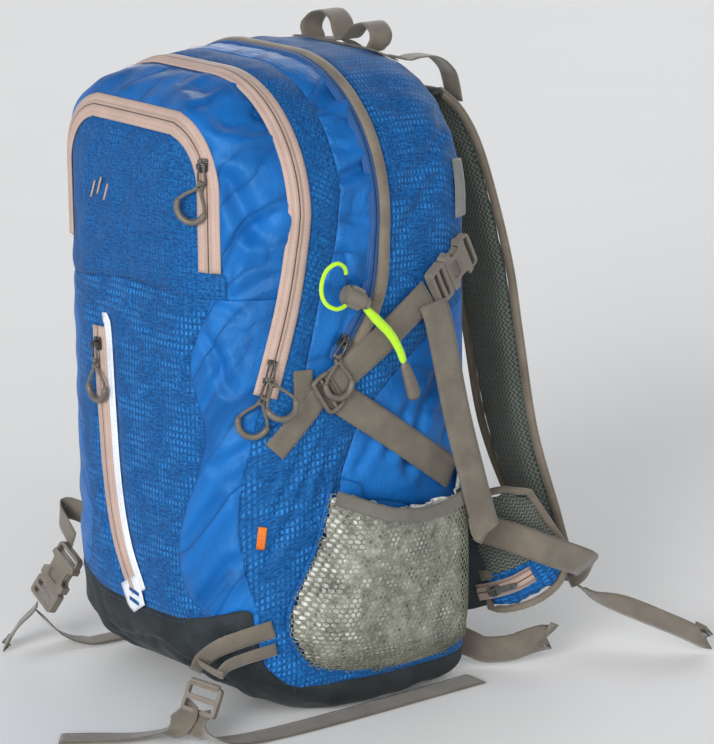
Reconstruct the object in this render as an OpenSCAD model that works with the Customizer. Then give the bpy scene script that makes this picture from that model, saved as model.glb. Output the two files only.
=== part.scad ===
// Hiking daypack of about 38 litres: a zipped main compartment, a front compartment, two front
// pockets, a dark base, two mesh side pockets, a padded harness and its webbing and hardware.
// Frame: +Z up, -Y is the outer front, +Y is the wearer's side, +X is the side with the pole loop.
// The origin is the centre of the flat underside. Units are millimetres.

/* [Body] */
// Height of the main compartment
pack_h = 520; // [500:5:540]
// Greatest width of the body
pack_w = 290; // [280:5:300]
// Distance from the origin plane to the back panel
back_y = 103; // [100:1:106]
// Thickness of a padded or coated fabric wall
wall = 2.4; // [2:0.2:3]

/* [Webbing] */
// Width of the webbing
web_w = 25; // [24:1:26]
// Thickness of the webbing
web_t = 1.4; // [1:0.1:1.6]

/* [Harness] */
// Width of a shoulder strap
strap_w = 64; // [58:1:68]
// Thickness of a shoulder strap
strap_t = 13; // [10:1:15]
// Thickness of a hip wing
wing_t = 11; // [9:1:12]

/* [Zips] */
// Width of a closed zip, both tapes together
zip_w = 22; // [18:1:24]
// Diameter of a cord
cord_d = 2.8; // [2.4:0.2:3.2]

/* [Hidden] */
hw = pack_w / 2;
BLUE = [0.05, 0.22, 0.55];
SATIN = [0.02, 0.33, 0.75];
DARK = [0.16, 0.17, 0.19];
TAUPE = [0.42, 0.39, 0.34];
TAN = [0.76, 0.62, 0.55];
MESH = [0.35, 0.38, 0.37];
NET = [0.50, 0.50, 0.43];
LIME = [0.65, 0.95, 0.10];
PLASTIC = [0.36, 0.34, 0.30];
METAL = [0.30, 0.30, 0.30];

// ---------- the body's cross-sections, as functions of y ----------
front_y = -142;
pocket_y = -120;
zip_y = -72;
seam_y = -34;
main_y = 8;
function half_w(y) = hw * lookup(y, [[front_y, 0.5], [pocket_y, 0.745], [zip_y, 0.925],
    [seam_y, 0.966], [main_y, 1], [60, 0.985], [back_y, 0.885]]);
function top_z(y) = pack_h * lookup(y, [[front_y, 0.885], [pocket_y, 0.952], [zip_y, 0.988],
    [seam_y, 0.998], [main_y, 1], [60, 0.995], [back_y, 0.965]]);
function top_r(y) = lookup(y, [[front_y, 45], [pocket_y, 52], [zip_y, 100], [main_y, 112],
    [back_y, 100]]);
function low_z(y) = lookup(y, [[front_y, 70], [pocket_y, 34], [zip_y, 8], [seam_y, 0], [back_y, 0]]);
function low_r(y) = lookup(y, [[front_y, 60], [pocket_y, 46], [zip_y, 34], [back_y, 30]]);

function arc(cx, cz, r, from, to, n) = [for (i = [0:n]) let (a = from + (to - from) * i / n)
    [cx + r * cos(a), cz + r * sin(a)]];
// One section of the body at y, drawn in by inset: the corners run from the lower left to the lower right.
function ring(y, inset) = let (w = half_w(y) - inset, t = top_z(y) - inset, b = low_z(y) + inset,
    rt = top_r(y) - inset, rb = low_r(y) - inset)
    [for (p = concat(arc(rb - w, b + rb, rb, 270, 180, 4), arc(rt - w, t - rt, rt, 180, 90, 7),
        arc(w - rt, t - rt, rt, 90, 0, 7), arc(w - rb, b + rb, rb, 0, -90, 4))) [p[0], y, p[1]]];
// The value of y moved along its own axis, so that an inset loft can stay open or closed at its ends.
function ring_at(shape_y, y, inset) = [for (p = ring(shape_y, inset)) [p[0], y, p[2]]];

// A closed solid through rings that run towards +Y, each with the same number of points.
module skin(rings) {
    n = len(rings[0]);
    last = len(rings) - 1;
    polyhedron(points = [for (r = rings) each r], faces = concat(
        [[for (i = [0:n - 1]) i]],
        [[for (i = [0:n - 1]) last * n + n - 1 - i]],
        [for (k = [0:last - 1], i = [0:n - 1]) let (j = (i + 1) % n)
            [k * n + i, (k + 1) * n + i, (k + 1) * n + j]],
        [for (k = [0:last - 1], i = [0:n - 1]) let (j = (i + 1) % n)
            [k * n + i, (k + 1) * n + j, k * n + j]]));
}

STATIONS = [front_y, pocket_y, zip_y, seam_y, main_y, 60, back_y];
function between(from, to) = concat([from], [for (y = STATIONS) if (y > from && y < to) y], [to]);
module body_slice(from, to, inset) skin([for (y = between(from, to)) ring(y, inset)]);
// The hollow of a slice: it runs past the slice's open ends.
module hollow(from, to, inset, open_front, open_back) {
    ends = [from + (open_front ? -1 : inset), to - (open_back ? -1 : inset)];
    skin(concat([ring_at(from, ends[0], inset)],
        [for (y = between(from, to)) if (y > from && y < to) ring(y, inset)],
        [ring_at(to, ends[1], inset)]));
}

// A prism along X over a shape drawn in the side view, as [y, z] points.
module side_prism(points, x0 = -400, x1 = 400)
    translate([x0, 0, 0]) rotate([90, 0, 90]) linear_extrude(x1 - x0) polygon(points);
// A prism along Y over a shape drawn in the front view, as [x, z] points.
module front_prism(points, y0, y1)
    translate([0, y1, 0]) rotate([90, 0, 0]) linear_extrude(y1 - y0) polygon(points);

function dir2(a, b) = let (d = b - a) d / norm(d);
function side2(path, i) = let (n = len(path) - 1,
    d = dir2(path[max(i - 1, 0)], path[min(i + 1, n)])) [-d[1], d[0]];
// The outline of a strip of width w along a path in a plane.
function strip(path, w) = concat(
    [for (i = [0:len(path) - 1]) path[i] + side2(path, i) * w / 2],
    [for (i = [len(path) - 1:-1:0]) path[i] - side2(path, i) * w / 2]);

// A layer that hugs the body between two distances outside it.
module layer(from, to, near, far) {
    difference() {
        body_slice(from, to, -far);
        hollow(from, to, -near, true, true);
    }
}

boot_top = [[-200, -60], [-200, 78], [pocket_y, 72], [zip_y - 10, 44], [back_y + 60, 26],
    [back_y + 60, -60]];
module above_boot() {
    difference() {
        children();
        side_prism(boot_top);
    }
}

// ---------- fabric shells ----------
module main_compartment() color(BLUE) above_boot() difference() {
    body_slice(main_y, back_y, 0);
    hollow(main_y, back_y, wall, true, false);
}

module expansion_gusset() color(SATIN) above_boot() difference() {
    body_slice(seam_y, main_y, 0);
    hollow(seam_y, main_y, wall, false, true);
}

module front_compartment() color(BLUE) above_boot() difference() {
    body_slice(zip_y, seam_y, 0);
    hollow(zip_y, seam_y, wall, false, true);
}

pocket_split = 342;
module front_pocket(low, high) above_boot() intersection() {
    difference() {
        body_slice(front_y, zip_y, 0);
        hollow(front_y, zip_y, wall, false, true);
    }
    translate([-200, -200, low]) cube([400, 400, high - low]);
}
module upper_front_pocket() color(BLUE) front_pocket(pocket_split, 600);
module lower_front_pocket() color(BLUE) front_pocket(-50, pocket_split);

module base_boot() color(DARK) intersection() {
    difference() {
        body_slice(front_y, back_y, 0);
        hollow(front_y, back_y, wall, false, false);
    }
    side_prism(boot_top);
}

// ---------- frame, back panel ----------
sheet_w = 190;
sheet_h = 400;
sheet_t = 1.5;
sheet_y = back_y - wall - 0.5 - sheet_t;
module frame_sheet() color("dimgray") translate([-sheet_w / 2, sheet_y, 45]) cube([sheet_w, sheet_t, sheet_h]);

stay_w = 20;
module frame_stays() color("silver") for (side = [-1, 1])
    translate([side * 45 - stay_w / 2, sheet_y - 3.2, 55]) cube([stay_w, 3, sheet_h - 20]);

pad_t = 12;
function rounded(w, h, r) = concat(arc(w / 2 - r, h / 2 - r, r, 0, 90, 4),
    arc(r - w / 2, h / 2 - r, r, 90, 180, 4), arc(r - w / 2, r - h / 2, r, 180, 270, 4),
    arc(w / 2 - r, r - h / 2, r, 270, 360, 4));
module pad(x, z, w, h) translate([x, back_y + 0.2 + pad_t, z]) rotate([90, 0, 0])
    linear_extrude(pad_t) polygon(rounded(w, h, 18));
module back_pads() color(MESH) {
    for (side = [-1, 1]) pad(side * 60, 290, 74, 250);
    pad(0, 105, 200, 92);
}

// ---------- mesh side pockets ----------
pocket_bulge = 34;
pocket_outline = [[-30, 240], [-62, 150], [-86, 96], [-78, 62], [-52, 42], [10, 34], [76, 38],
    [84, 110], [82, 240]];
pocket_mouth = [[-120, 215], [-45, 192], [-10, 178], [20, 174], [50, 177], [84, 187], [120, 195]];
// The outline drawn in towards the pocket's middle by the share k.
function shrunk(k) = [for (p = pocket_outline) [4 + (p[0] - 4) * (1 - k), 120 + (p[1] - 120) * (1 - k * 0.8)]];
module pocket_dome(grow) skin([for (s = [[-36, 0], [0, 0], [0.42, 0.07], [0.78, 0.2], [1, 0.4]])
    [for (p = shrunk(s[1] - grow * 0.01))
        [hw + (s[0] < 0 ? s[0] : s[0] * (pocket_bulge + grow)), p[0], p[1]]]]);
module pocket_shell(outer, inner, lift) difference() {
    pocket_dome(outer);
    pocket_dome(inner);
    body_slice(front_y, back_y, -0.4);
    side_prism(concat([[-120, 400]], [for (p = pocket_mouth) p + [0, lift]], [[120, 400]]), 0, 400);
}
module both_sides() {
    children();
    mirror([1, 0, 0]) children();
}
net_t = 1.6;
module mesh_pockets() color(NET) both_sides() pocket_shell(0, -net_t, 0);
module pocket_liners() color("gainsboro") both_sides() pocket_shell(-net_t - 0.3, -net_t - 1.3, 5);

// ---------- zips, binding and straps that lie on the body ----------
tape_near = 0.25;
tape_far = 1.35;
strap_near = 1.6;
// The long zips and the binding, as [y, z] lines: up the side, over the top and down the other side.
MAIN_LINE = [[-5, pack_h + 60], [-5, 400], [-11, 350], [-27, 318], [-44, 296]];
BINDING_LINE = [[2, pack_h + 60], [2, 400], [-1, 350], [-17, 315], [-37, 286]];
FRONT_LINE = [[-70, pack_h + 60], [-70, 440], [-73, 392], [-82, 342], [-98.5, 273]];
module line_band(line, w, near, far) intersection() {
    layer(front_y + 4, back_y - 2, near, far);
    side_prism(strip(line, w));
}
module main_zip() color(TAN) line_band(MAIN_LINE, 14, tape_near, tape_far);
module main_zip_binding() color(TAUPE) line_band(BINDING_LINE, 11, 1.6, 3.6);
module front_zip() color(TAN) line_band(FRONT_LINE, zip_w, tape_near, tape_far);

// The upper pocket's zip: up one side, round the two upper corners and down the other.
zip_x = 96;
zip_top = 482;
zip_low = 368;
module upper_pocket_zip() color(TAN) intersection() {
    layer(front_y + 0.2, zip_y - 12, tape_near, tape_far);
    front_prism(strip(concat([[-zip_x, zip_low]],
        arc(48 - zip_x, zip_top - 48, 48, 180, 90, 5), arc(zip_x - 48, zip_top - 48, 48, 90, 0, 5),
        [[zip_x, zip_low]]), zip_w), front_y - 20, zip_y);
}
LOWER_LINE = [[-40, 306], [-36, 240], [-31, 180], [-20, 132], [2, 92]];
module lower_pocket_zip() color(TAN) translate([0, front_y - tape_far, 0])
    front_prism(strip(LOWER_LINE, 18), 0, tape_far - tape_near);
module reflective_trim() color("whitesmoke") translate([0, front_y - tape_far, 0])
    front_prism(strip([for (p = LOWER_LINE) p + [15, 3]], 8), 0, tape_far - tape_near);

// The two compression straps of a side, as lines in the side view.
BUCKLE_TOP = [92, 368];
HOOK = [-54, 275];
ANCHOR_END = [-98, 226];
module on_side(line, w, near) intersection() {
    line_band(line, w, near, near + web_t);
    translate([60, -300, 0]) cube([300, 600, 600]);
}
module anchor_straps() color(TAUPE) both_sides() on_side([ANCHOR_END, HOOK + [-12, -13]], web_w, strap_near);
module lower_straps() color(TAUPE) both_sides() on_side([HOOK + [10, -7], [71, 184]], web_w, strap_near);
tension_end = HOOK + [46, 29];
module tension_strap() {
    on_side([BUCKLE_TOP + [-52, -32], tension_end], web_w, strap_near + 2.1);
    sweep_ribbon([[155, 44.5, 332], [161, 51, 314], [173, 66, 236], [183, 88, 146]], [0.05, 0.93, 0.35], web_w, web_t);
}
module tension_strap_right() color(TAUPE) tension_strap();
module tension_strap_left() color(TAUPE) mirror([1, 0, 0]) tension_strap();

// ---------- swept solids ----------
function unit(v) = v / norm(v);
function tangent(path, i) = unit(path[min(i + 1, len(path) - 1)] - path[max(i - 1, 0)]);
function flat_to(v, t) = unit(v - (v * t) * t);
// A section of a sweep: points (u, v) across and through the ribbon at point i.
function section(path, acrosses, i, outline) = let (t = tangent(path, i),
    a = flat_to(acrosses[i], t), n = cross(t, a)) [for (q = outline) path[i] + a * q[0] + n * q[1]];
function box_outline(w, t) = [[w / 2, -t / 2], [w / 2, t / 2], [-w / 2, t / 2], [-w / 2, -t / 2]];
// The same list with steps - 1 more entries between neighbours, on a Catmull-Rom curve.
function smooth(p, steps) = let (n = len(p) - 1) concat([for (i = [0:n - 1], k = [0:steps - 1])
    let (f = k / steps, a = p[max(i - 1, 0)], b = p[i], c = p[i + 1], d = p[min(i + 2, n)])
    b + (c - a) * f / 2 + (2 * a - 5 * b + 4 * c - d) * f * f / 2 + (3 * b - a - 3 * c + d) * f * f * f / 2],
    [p[n]]);
module sweep_ribbon(path, across, w, t) {
    twists = !is_num(across[0]);
    fine = smooth(path, twists ? 6 : 3);
    acrosses = twists ? smooth(across, 6) : [for (p = fine) across];
    skin([for (i = [0:len(fine) - 1]) section(fine, acrosses, i, box_outline(w, t))]);
}
module sweep_pad(path, across, widths, t) {
    fine = smooth(path, 2);
    wide = smooth(widths, 2);
    skin([for (i = [0:len(fine) - 1]) section(fine, [for (p = fine) across], i, rounded(wide[i], t, t * 0.45))]);
}
function circle_outline(d) = arc(0, 0, d / 2, 0, 315, 7);
module sweep_cord(path, across, d) let (acrosses = [for (p = path) across])
    skin([for (i = [0:len(path) - 1]) section(path, acrosses, i, circle_outline(d))]);
// A frame whose x runs along dir and whose z is near n, placed at p.
function basis(p, dir, n) = let (x = unit(dir), y = unit(cross(n, x)), z = cross(x, y))
    [[x[0], y[0], z[0], p[0]], [x[1], y[1], z[1], p[1]], [x[2], y[2], z[2], p[2]], [0, 0, 0, 1]];
module placed(p, dir, n) multmatrix(basis(p, dir, n)) children();

// ---------- side-release buckle: x runs from the female's bar to the male's, z is outward ----------
buckle_w = 33;
buckle_t = 8;
slot_w = 26.5;
female_l = 36;
male_l = 19;
prong_l = 22;
module slab_box(x0, x1, w, z0, z1, r = 2) translate([(x0 + x1) / 2, 0, z0])
    linear_extrude(z1 - z0) polygon(rounded(x1 - x0, w, r));
module female_buckle() difference() {
    union() {
        slab_box(0, 12, buckle_w - 2, 1, buckle_t - 1, 4);
        slab_box(8, female_l, buckle_w, 0, buckle_t, 3);
    }
    slab_box(3, 8.5, slot_w, -1, buckle_t + 1, 1);
    slab_box(12.5, female_l + 4, buckle_w - 7, 1.6, buckle_t - 1.6, 1);
    for (side = [-1, 1]) translate([21, side * buckle_w / 2, -1]) slab_box(-7, 7, 11, 0, buckle_t + 2, 4);
    translate([27, 0, buckle_t - 0.9]) slab_box(-4, 4, 15, 0, 3, 2.5);
}
module male_buckle() translate([female_l + 0.4, 0, 0]) {
    difference() {
        slab_box(0, male_l, buckle_w, 0.6, buckle_t - 0.6, 3);
        slab_box(4, 8.2, slot_w, -1, buckle_t + 1, 1);
        slab_box(11.4, 15.6, slot_w, -1, buckle_t + 1, 1);
    }
    slab_box(-prong_l + 4, 2, 5, 2.4, buckle_t - 2.4, 1);
    for (side = [-1, 1]) translate([0, side * 8.6, 0]) {
        slab_box(-prong_l, 2, 3.4, 2.1, buckle_t - 2.1, 1.2);
        translate([0, side * 1.4, 0]) slab_box(-prong_l, 9 - prong_l, 4.6, 1.9, buckle_t - 1.9, 1.6);
    }
}
function side_at(y, z, off) = [half_w(y) + off, y, z];
BUCKLE_A = side_at(BUCKLE_TOP[0], BUCKLE_TOP[1], 4.2);
BUCKLE_B = side_at(BUCKLE_TOP[0] - 50, BUCKLE_TOP[1] - 31, 4.4);
module at_side_buckle() placed(BUCKLE_A, BUCKLE_B - BUCKLE_A, [0.96, 0.28, 0]) children();
module female_buckles() color(PLASTIC) both_sides() at_side_buckle() female_buckle();
module male_buckle_right() color(PLASTIC) at_side_buckle() male_buckle();
module male_buckle_left() color(PLASTIC) mirror([1, 0, 0]) at_side_buckle() male_buckle();

// ---------- ladder lock: x along the strap, z outward ----------
module ladder_lock() {
    difference() {
        slab_box(-12, 12, 32, 0, 4.6, 3);
        slab_box(-8.5, -2.2, slot_w, -1, 6, 1);
        slab_box(2.2, 8.5, slot_w, -1, 6, 1);
    }
    translate([-12.4, 0, 4]) rotate([90, 0, 0]) translate([0, 0, -13]) cylinder(r = 2.1, h = 26, $fn = 24);
}
BASE_LOCK = [108, -152, 33];
BASE_LOCK_DIR = [0.05, -0.42, -0.9];
BASE_LOCK_N = [0.35, -0.85, 0.35];
module base_ladder_lock() color(PLASTIC) placed(BASE_LOCK, BASE_LOCK_DIR, BASE_LOCK_N) ladder_lock();
BASE_BUCKLE = [-132, -112, 88];
BASE_BUCKLE_DIR = [-0.42, -0.32, -0.85];
BASE_BUCKLE_N = [0.1, -0.94, 0.3];
module base_buckle_female() color(PLASTIC) placed(BASE_BUCKLE, BASE_BUCKLE_DIR, BASE_BUCKLE_N) female_buckle();
module base_buckle_male() color(PLASTIC) placed(BASE_BUCKLE, BASE_BUCKLE_DIR, BASE_BUCKLE_N) male_buckle();

// ---------- webbing at the base ----------
module base_webbing() color(TAUPE) {
    // Right: the two arms of the sewn triangle, and its foot.
    sweep_ribbon([[124.5, -98, 80], [113.5, -118, 76], [104, -134, 70], [99, -145, 64]], [0.15, 0.1, 1], 15, web_t);
    sweep_ribbon([[127, -98, 66], [122, -118, 63], [118, -135, 60]], [0.2, 0, 1], 11, web_t);
    sweep_ribbon([[102, -149, 60], [116, -144, 55]], [0.1, -0.5, 0.9], 8, web_t);
    // The tail of the ladder lock, and the strap that goes back under the base.
    sweep_ribbon([[100, -168, 15], [90, -180, 8], [74, -199, 3.5], [54, -222, 2], [38, -242, 1.5]],
        [[0.9, 0.4, 0], [0.8, -0.4, 0.2], [0.75, -0.6, 0.1], [0.74, -0.66, 0], [0.74, -0.66, 0]], 22, web_t);
    sweep_ribbon([[114, -162, 14], [122, -157, 8], [130, -142, 3.2], [135, -110, 1.2], [138.5, -40, 1.2], [138.5, 100, 1.2]],
        [1, 0.2, 0], web_w, web_t);
    // Left: the loop that feeds the buckle, and the strap under the base.
    sweep_ribbon([[-126, -96, 107], [-146, -91, 112], [-166, -93, 114], [-172, -99, 113], [-166, -105, 110],
        [-148, -110, 103], [-140, -112, 100]], [0.15, 0, 1], 20, web_t);
    sweep_ribbon([[-158, -112, 10], [-148, -98, 2.2], [-140, -70, 1.2], [-137.5, 90, 1.2]], [1, -0.2, 0], 22, web_t);
}
// The loose end of the strap in the left buckle.
module base_tail_left() color(TAUPE)
    sweep_ribbon([[-159, -140, 35], [-168, -149, 22], [-176, -157, 4]], [0.8, -0.6, 0], 22, web_t);

// ---------- pole loop and cord lock ----------
CORD_LOCK = [149, -44, 352];
CORD_DIR = [0.05, 0.88, -0.47];
lock_r = 7;
lock_l = 17;
press = 3;
module at_cord_lock() placed(CORD_LOCK, CORD_DIR, [1, 0.1, 0]) children();
module cord_lock_body() color(PLASTIC) at_cord_lock() difference() {
    union() {
        translate([0, 0, lock_r]) rotate([0, 90, 0]) cylinder(r = lock_r, h = lock_l, $fn = 40);
        slab_box(2, lock_l - 2, 2 * lock_r + 3, 3, 2 * lock_r - 3, 2);
    }
    translate([2.2, 0, lock_r]) rotate([0, 90, 0]) cylinder(r = lock_r - 1.6, h = lock_l, $fn = 40);
    translate([lock_l - 5.2, -20, lock_r]) rotate([-90, 0, 0]) cylinder(r = 2.3, h = 40, $fn = 24);
}
module cord_lock_button() color(PLASTIC) at_cord_lock() difference() {
    translate([8.4, 0, lock_r]) rotate([0, 90, 0]) cylinder(r = lock_r - 1.66, h = 14, $fn = 40);
    hull() for (d = [0, press + 0.5]) translate([lock_l - 5.2 + d, -20, lock_r]) rotate([-90, 0, 0]) cylinder(r = 2.4, h = 40, $fn = 24);
}
module cord_lock_spring() color(METAL) at_cord_lock() for (k = [0:2])
    translate([2.75 + k * 0.95, 0, lock_r]) rotate([0, 90, 0]) rotate_extrude($fn = 32) translate([3.4, 0]) circle(r = 0.45, $fn = 16);
module pole_loop() color(LIME) {
    sweep_cord([[149, -62, 366], [153, -58, 376], [154, -48, 378], [153, -41, 372]], [0.2, 0.4, -1], cord_d);
    sweep_cord([[149, -64, 360], [153, -62, 350], [156, -54, 344], [156, -46, 344]], [0.9, 0.4, -1], cord_d);
    sweep_cord([[158, -13, 324], [160, -4, 316], [160, 4, 302], [159, 10, 290]], [1, 0, 0], cord_d);
    sweep_pad([[159, 10, 289], [160, 13, 280], [160, 17, 268], [160, 19, 260]], [1, 0, 0.1], [6, 9, 12, 8], 6);
}

// ---------- haul loop ----------
HAUL_Y = 78;
haul_z = top_z(HAUL_Y) + 1.2;
// Two humps of one webbing, whose feet stop short of the top so that the loop can tip.
module haul_loop() color(TAUPE) translate([0, HAUL_Y, haul_z]) rotate([-20, 0, 0]) {
    hump = [[-45, 4], [-50, 12], [-43, 23], [-29, 26], [-15, 20], [-7, 11], [0, 5.4], [5, 8], [13, 18],
        [27, 22], [39, 16], [42, 9], [40, 4]];
    sweep_ribbon([for (p = hump) [p[0], 0, p[1]]], [0, 1, 0], 22, web_t);
}

// ---------- shoulder straps ----------
SHOULDER = [[46, 122, 474], [50, 136, 456], [57, 149, 418], [68, 165, 337], [76, 171, 271],
    [84, 181, 190], [94, 202, 118], [102, 217, 76]];
SHOULDER_W = [52, 56, 62, strap_w, strap_w, strap_w, 52, 34];
module shoulder_pad() sweep_pad(SHOULDER, [0.98, 0.12, 0.1], SHOULDER_W, strap_t);
module shoulder_pad_right() color(MESH) shoulder_pad();
module shoulder_pad_left() color(MESH) mirror([1, 0, 0]) shoulder_pad();
// The webbing on the strap's outer face, and the loose tail beyond the ladder lock.
outer = [0, strap_t / 2 + 1.2, 0.6];
module shoulder_webbing() {
    sweep_ribbon([for (i = [1:6]) SHOULDER[i] + outer + [0, 0.8, 0]], [0.98, 0.12, 0.1], 22, web_t);
    sweep_ribbon([[111, 241, 43], [124, 246, 37], [150, 258, 33], [190, 277, 22], [214, 290, 14]],
        [[0.9, -0.4, 0.2], [0.6, -0.5, 0.6], [0.3, -0.35, 0.9], [0.3, -0.35, 0.9], [0.3, -0.35, 0.9]], web_w, web_t);
}
module shoulder_webbing_right() color(TAUPE) shoulder_webbing();
module shoulder_webbing_left() color(TAUPE) mirror([1, 0, 0]) shoulder_webbing();
LADDER = [105, 225, 60];
module at_ladder() placed(LADDER, [0.12, 0.5, -0.86], [0, 0.86, 0.5]) children();
module ladder_lock_right() color(PLASTIC) at_ladder() ladder_lock();
module ladder_lock_left() color(PLASTIC) mirror([1, 0, 0]) at_ladder() ladder_lock();

// Load lifters over the top, the anchors of the lower adjusters (drawn short of the ladder locks), and
// the hip belt's loose ends.
module harness_side() {
    sweep_ribbon([[58, 92, top_z(92) + 1.6], [58, 104, 509], [58, 122, 507], [57, 137, 496], [56, 143, 484]],
        [1, 0, 0], 22, web_t);
    sweep_ribbon([[143, 112, 128], [162, 130, 120], [174, 154, 108], [172, 188, 92], [150, 210, 78]],
        [[0, 0.1, 1], [0, 0.2, 1], [0.1, 0.2, 1], [0.4, 0.3, 0.9], [0.7, 0.2, 0.6]], web_w, web_t);
    sweep_ribbon([[112, 118, 20], [120, 126, 16], [132, 142, 17], [140, 158, 22], [146, 172, 24]], [0.1, -0.2, 1], web_w, web_t);
}
module harness_webbing() color(TAUPE) both_sides() harness_side();

// ---------- sternum strap: a rider on the strap's outer webbing, and half a buckle ----------
STERNUM_DIR = unit([8, 6, -66]);
STERNUM_OUT = [-0.1285, 0.989, 0.0745];
STERNUM = [73.5, 169.1, 292] + STERNUM_OUT * 6.9;
// Local frame: x across the strap, z outward, so that -y is down the strap.
module at_sternum() placed(STERNUM, cross(STERNUM_DIR, STERNUM_OUT), STERNUM_OUT) children();
module sternum_half(male) {
    difference() {
        slab_box(-18, 18, 14, 0, 5.6, 3);
        translate([-13, -9, -1]) cube([26, 18, 3.8]);
    }
    translate([-8, -5, 5]) cube([16, 10, 3]);
    sweep_ribbon([[0, 2, 8.4], [0, 10, 9], [0, 22, 7], [0, 52, 7]], [1, 0, 0], 18, web_t);
    translate([0, 51, 4.2]) rotate([0, 0, 90]) scale(0.72) translate([male ? -female_l : 0, 0, 0]) {
        if (male) rotate([0, 0, 180]) translate([-2 * female_l - male_l - 0.4, 0, 0]) male_buckle();
        else rotate([0, 0, 180]) translate([-female_l, 0, 0]) female_buckle();
    }
}
module sternum_right() color(PLASTIC) at_sternum() sternum_half(true);
module sternum_left() color(PLASTIC) mirror([1, 0, 0]) at_sternum() sternum_half(false);

// ---------- hip belt ----------
HIP = [[114, 122, 97], [126, 130, 101], [138, 142, 108], [146, 155, 117], [151, 168, 126]];
HIP_W = [100, 106, 110, 104, 78];
module hip_wing() sweep_pad(HIP, [0, -0.05, 1], HIP_W, wing_t);
module hip_wing_right() color(MESH) hip_wing();
module hip_wing_left() color(MESH) mirror([1, 0, 0]) hip_wing();
// Along the lower part of the wing's outer face.
HIP_OUT = unit([0.78, -0.62, 0]);
hip_off = wing_t / 2 + 0.4;
function hip_low(i, drop) = HIP[i] + HIP_OUT * (hip_off + 1.4) + [0, 0, -drop];
module hip_zip() sweep_ribbon([hip_low(0, 30), hip_low(1, 30), hip_low(2, 31), hip_low(3, 32)], [0, -0.05, 1], 14, 1.1);
module hip_zip_right() color(TAN) hip_zip();
module hip_zip_left() color(TAN) mirror([1, 0, 0]) hip_zip();

// ---------- zip sliders and pulls: x along the zip (the pull's way), z outward ----------
bar_z = 4.6;
bar_r = 0.9;
module slider() {
    difference() {
        slab_box(-5.5, 5.5, 8.4, 0, 1.8, 2);
        slab_box(-9, -3.4, 1.2, -1, 3, 0.3);
    }
    for (side = [-1, 1]) translate([0, side * 3, 0]) slab_box(-2, 2, 1.3, 1.6, bar_z + 1.2, 0.5);
    translate([0, 3.3, bar_z]) rotate([90, 0, 0]) cylinder(r = bar_r, h = 6.6, $fn = 24);
}
tab_l = 15;
grip_r = 10.5;
// A metal tab on the slider's bar, a cord knotted into it, and a moulded grip round the cord's end.
module pull(turn, lift = 0) translate([0, 0, bar_z]) rotate([0, -lift, 0]) {
    difference() {
        union() {
            rotate([90, 0, 0]) translate([0, 0, -2]) cylinder(r = 2.1, h = 4, $fn = 32);
            slab_box(1, tab_l, 4, -0.7, 0.7, 1);
            slab_box(5, tab_l, 6.6, -0.7, 0.7, 2);
        }
        rotate([90, 0, 0]) translate([0, 0, -3]) cylinder(r = bar_r + 0.08, h = 6, $fn = 32);
        translate([tab_l - 3, 0, -2]) cylinder(r = 1.5, h = 4, $fn = 24);
    }
    translate([tab_l - 3, 0, 0]) rotate([0, 0, turn]) {
        sphere(r = 2.2, $fn = 20);
        for (side = [-1, 1]) sweep_cord([[1, side * 0.6, 0], [6, side * 2, 0], [14, side * 7, 0], [22, side * grip_r, 0]], [0, 0, 1], cord_d);
        translate([22, 0, 0]) rotate([0, 0, -90]) rotate_extrude(angle = 180, $fn = 48) translate([grip_r, 0]) circle(d = 4.6, $fn = 16);
    }
}
// Each: where it is, the way its pull points along the zip, and the outward normal.
UPPER_AT = [[92.4, -130.2, 454.4], [0.05, 0.01, -1], [0.48, -0.85, 0.2]];
LOWER_AT = [[-39, front_y - 1.9, 292], [0.06, 0, -1], [0, -1, 0]];
side_n = unit([48, -25, 0]);
FRONT_LOW_AT = [[123.1, -96.4, 286], unit([-9, -16.5, -69]), side_n];
front_step = 15;
FRONT_HIGH_AT = [FRONT_LOW_AT[0] - FRONT_LOW_AT[1] * front_step, FRONT_LOW_AT[1], side_n];
MAIN_AT = [[141.8, -36.5, 311], unit([-0.8, -17, -22]), unit([1, -0.14, 0])];
module at_zip(at) placed(at[0], at[1], at[2]) children();
module upper_slider() color(METAL) at_zip(UPPER_AT) slider();
module upper_pull() color(PLASTIC) at_zip(UPPER_AT) pull(-28);
module lower_slider() color(METAL) at_zip(LOWER_AT) slider();
module lower_pull() color(PLASTIC) at_zip(LOWER_AT) pull(0);
module front_slider_low() color(METAL) at_zip(FRONT_LOW_AT) slider();
module front_pull_low() color(PLASTIC) at_zip(FRONT_LOW_AT) pull(-20);
module front_slider_high() color(METAL) at_zip(FRONT_HIGH_AT) slider();
module front_pull_high() color(PLASTIC) at_zip(FRONT_HIGH_AT) pull(45, 28);
module main_slider() color(METAL) at_zip(MAIN_AT) slider();
module main_pull() color(PLASTIC) at_zip(MAIN_AT) pull(37);
HIP_AT = [hip_low(1, 30) + HIP_OUT * 1.5, unit(hip_low(2, 31) - hip_low(1, 30)), HIP_OUT];
module hip_slider() at_zip(HIP_AT) {
    slider();
    slab_box(5, 20, 5, 3.2, 4.4, 2);
}
module hip_slider_right() color(METAL) hip_slider();
module hip_slider_left() color(METAL) mirror([1, 0, 0]) hip_slider();

// A plain woven tag on each back seam.
module side_tags() color(TAUPE) both_sides() intersection() {
    layer(60, back_y - 1, 0.4, 1.4);
    translate([60, 78, 392]) cube([200, 17, 46]);
}

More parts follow.
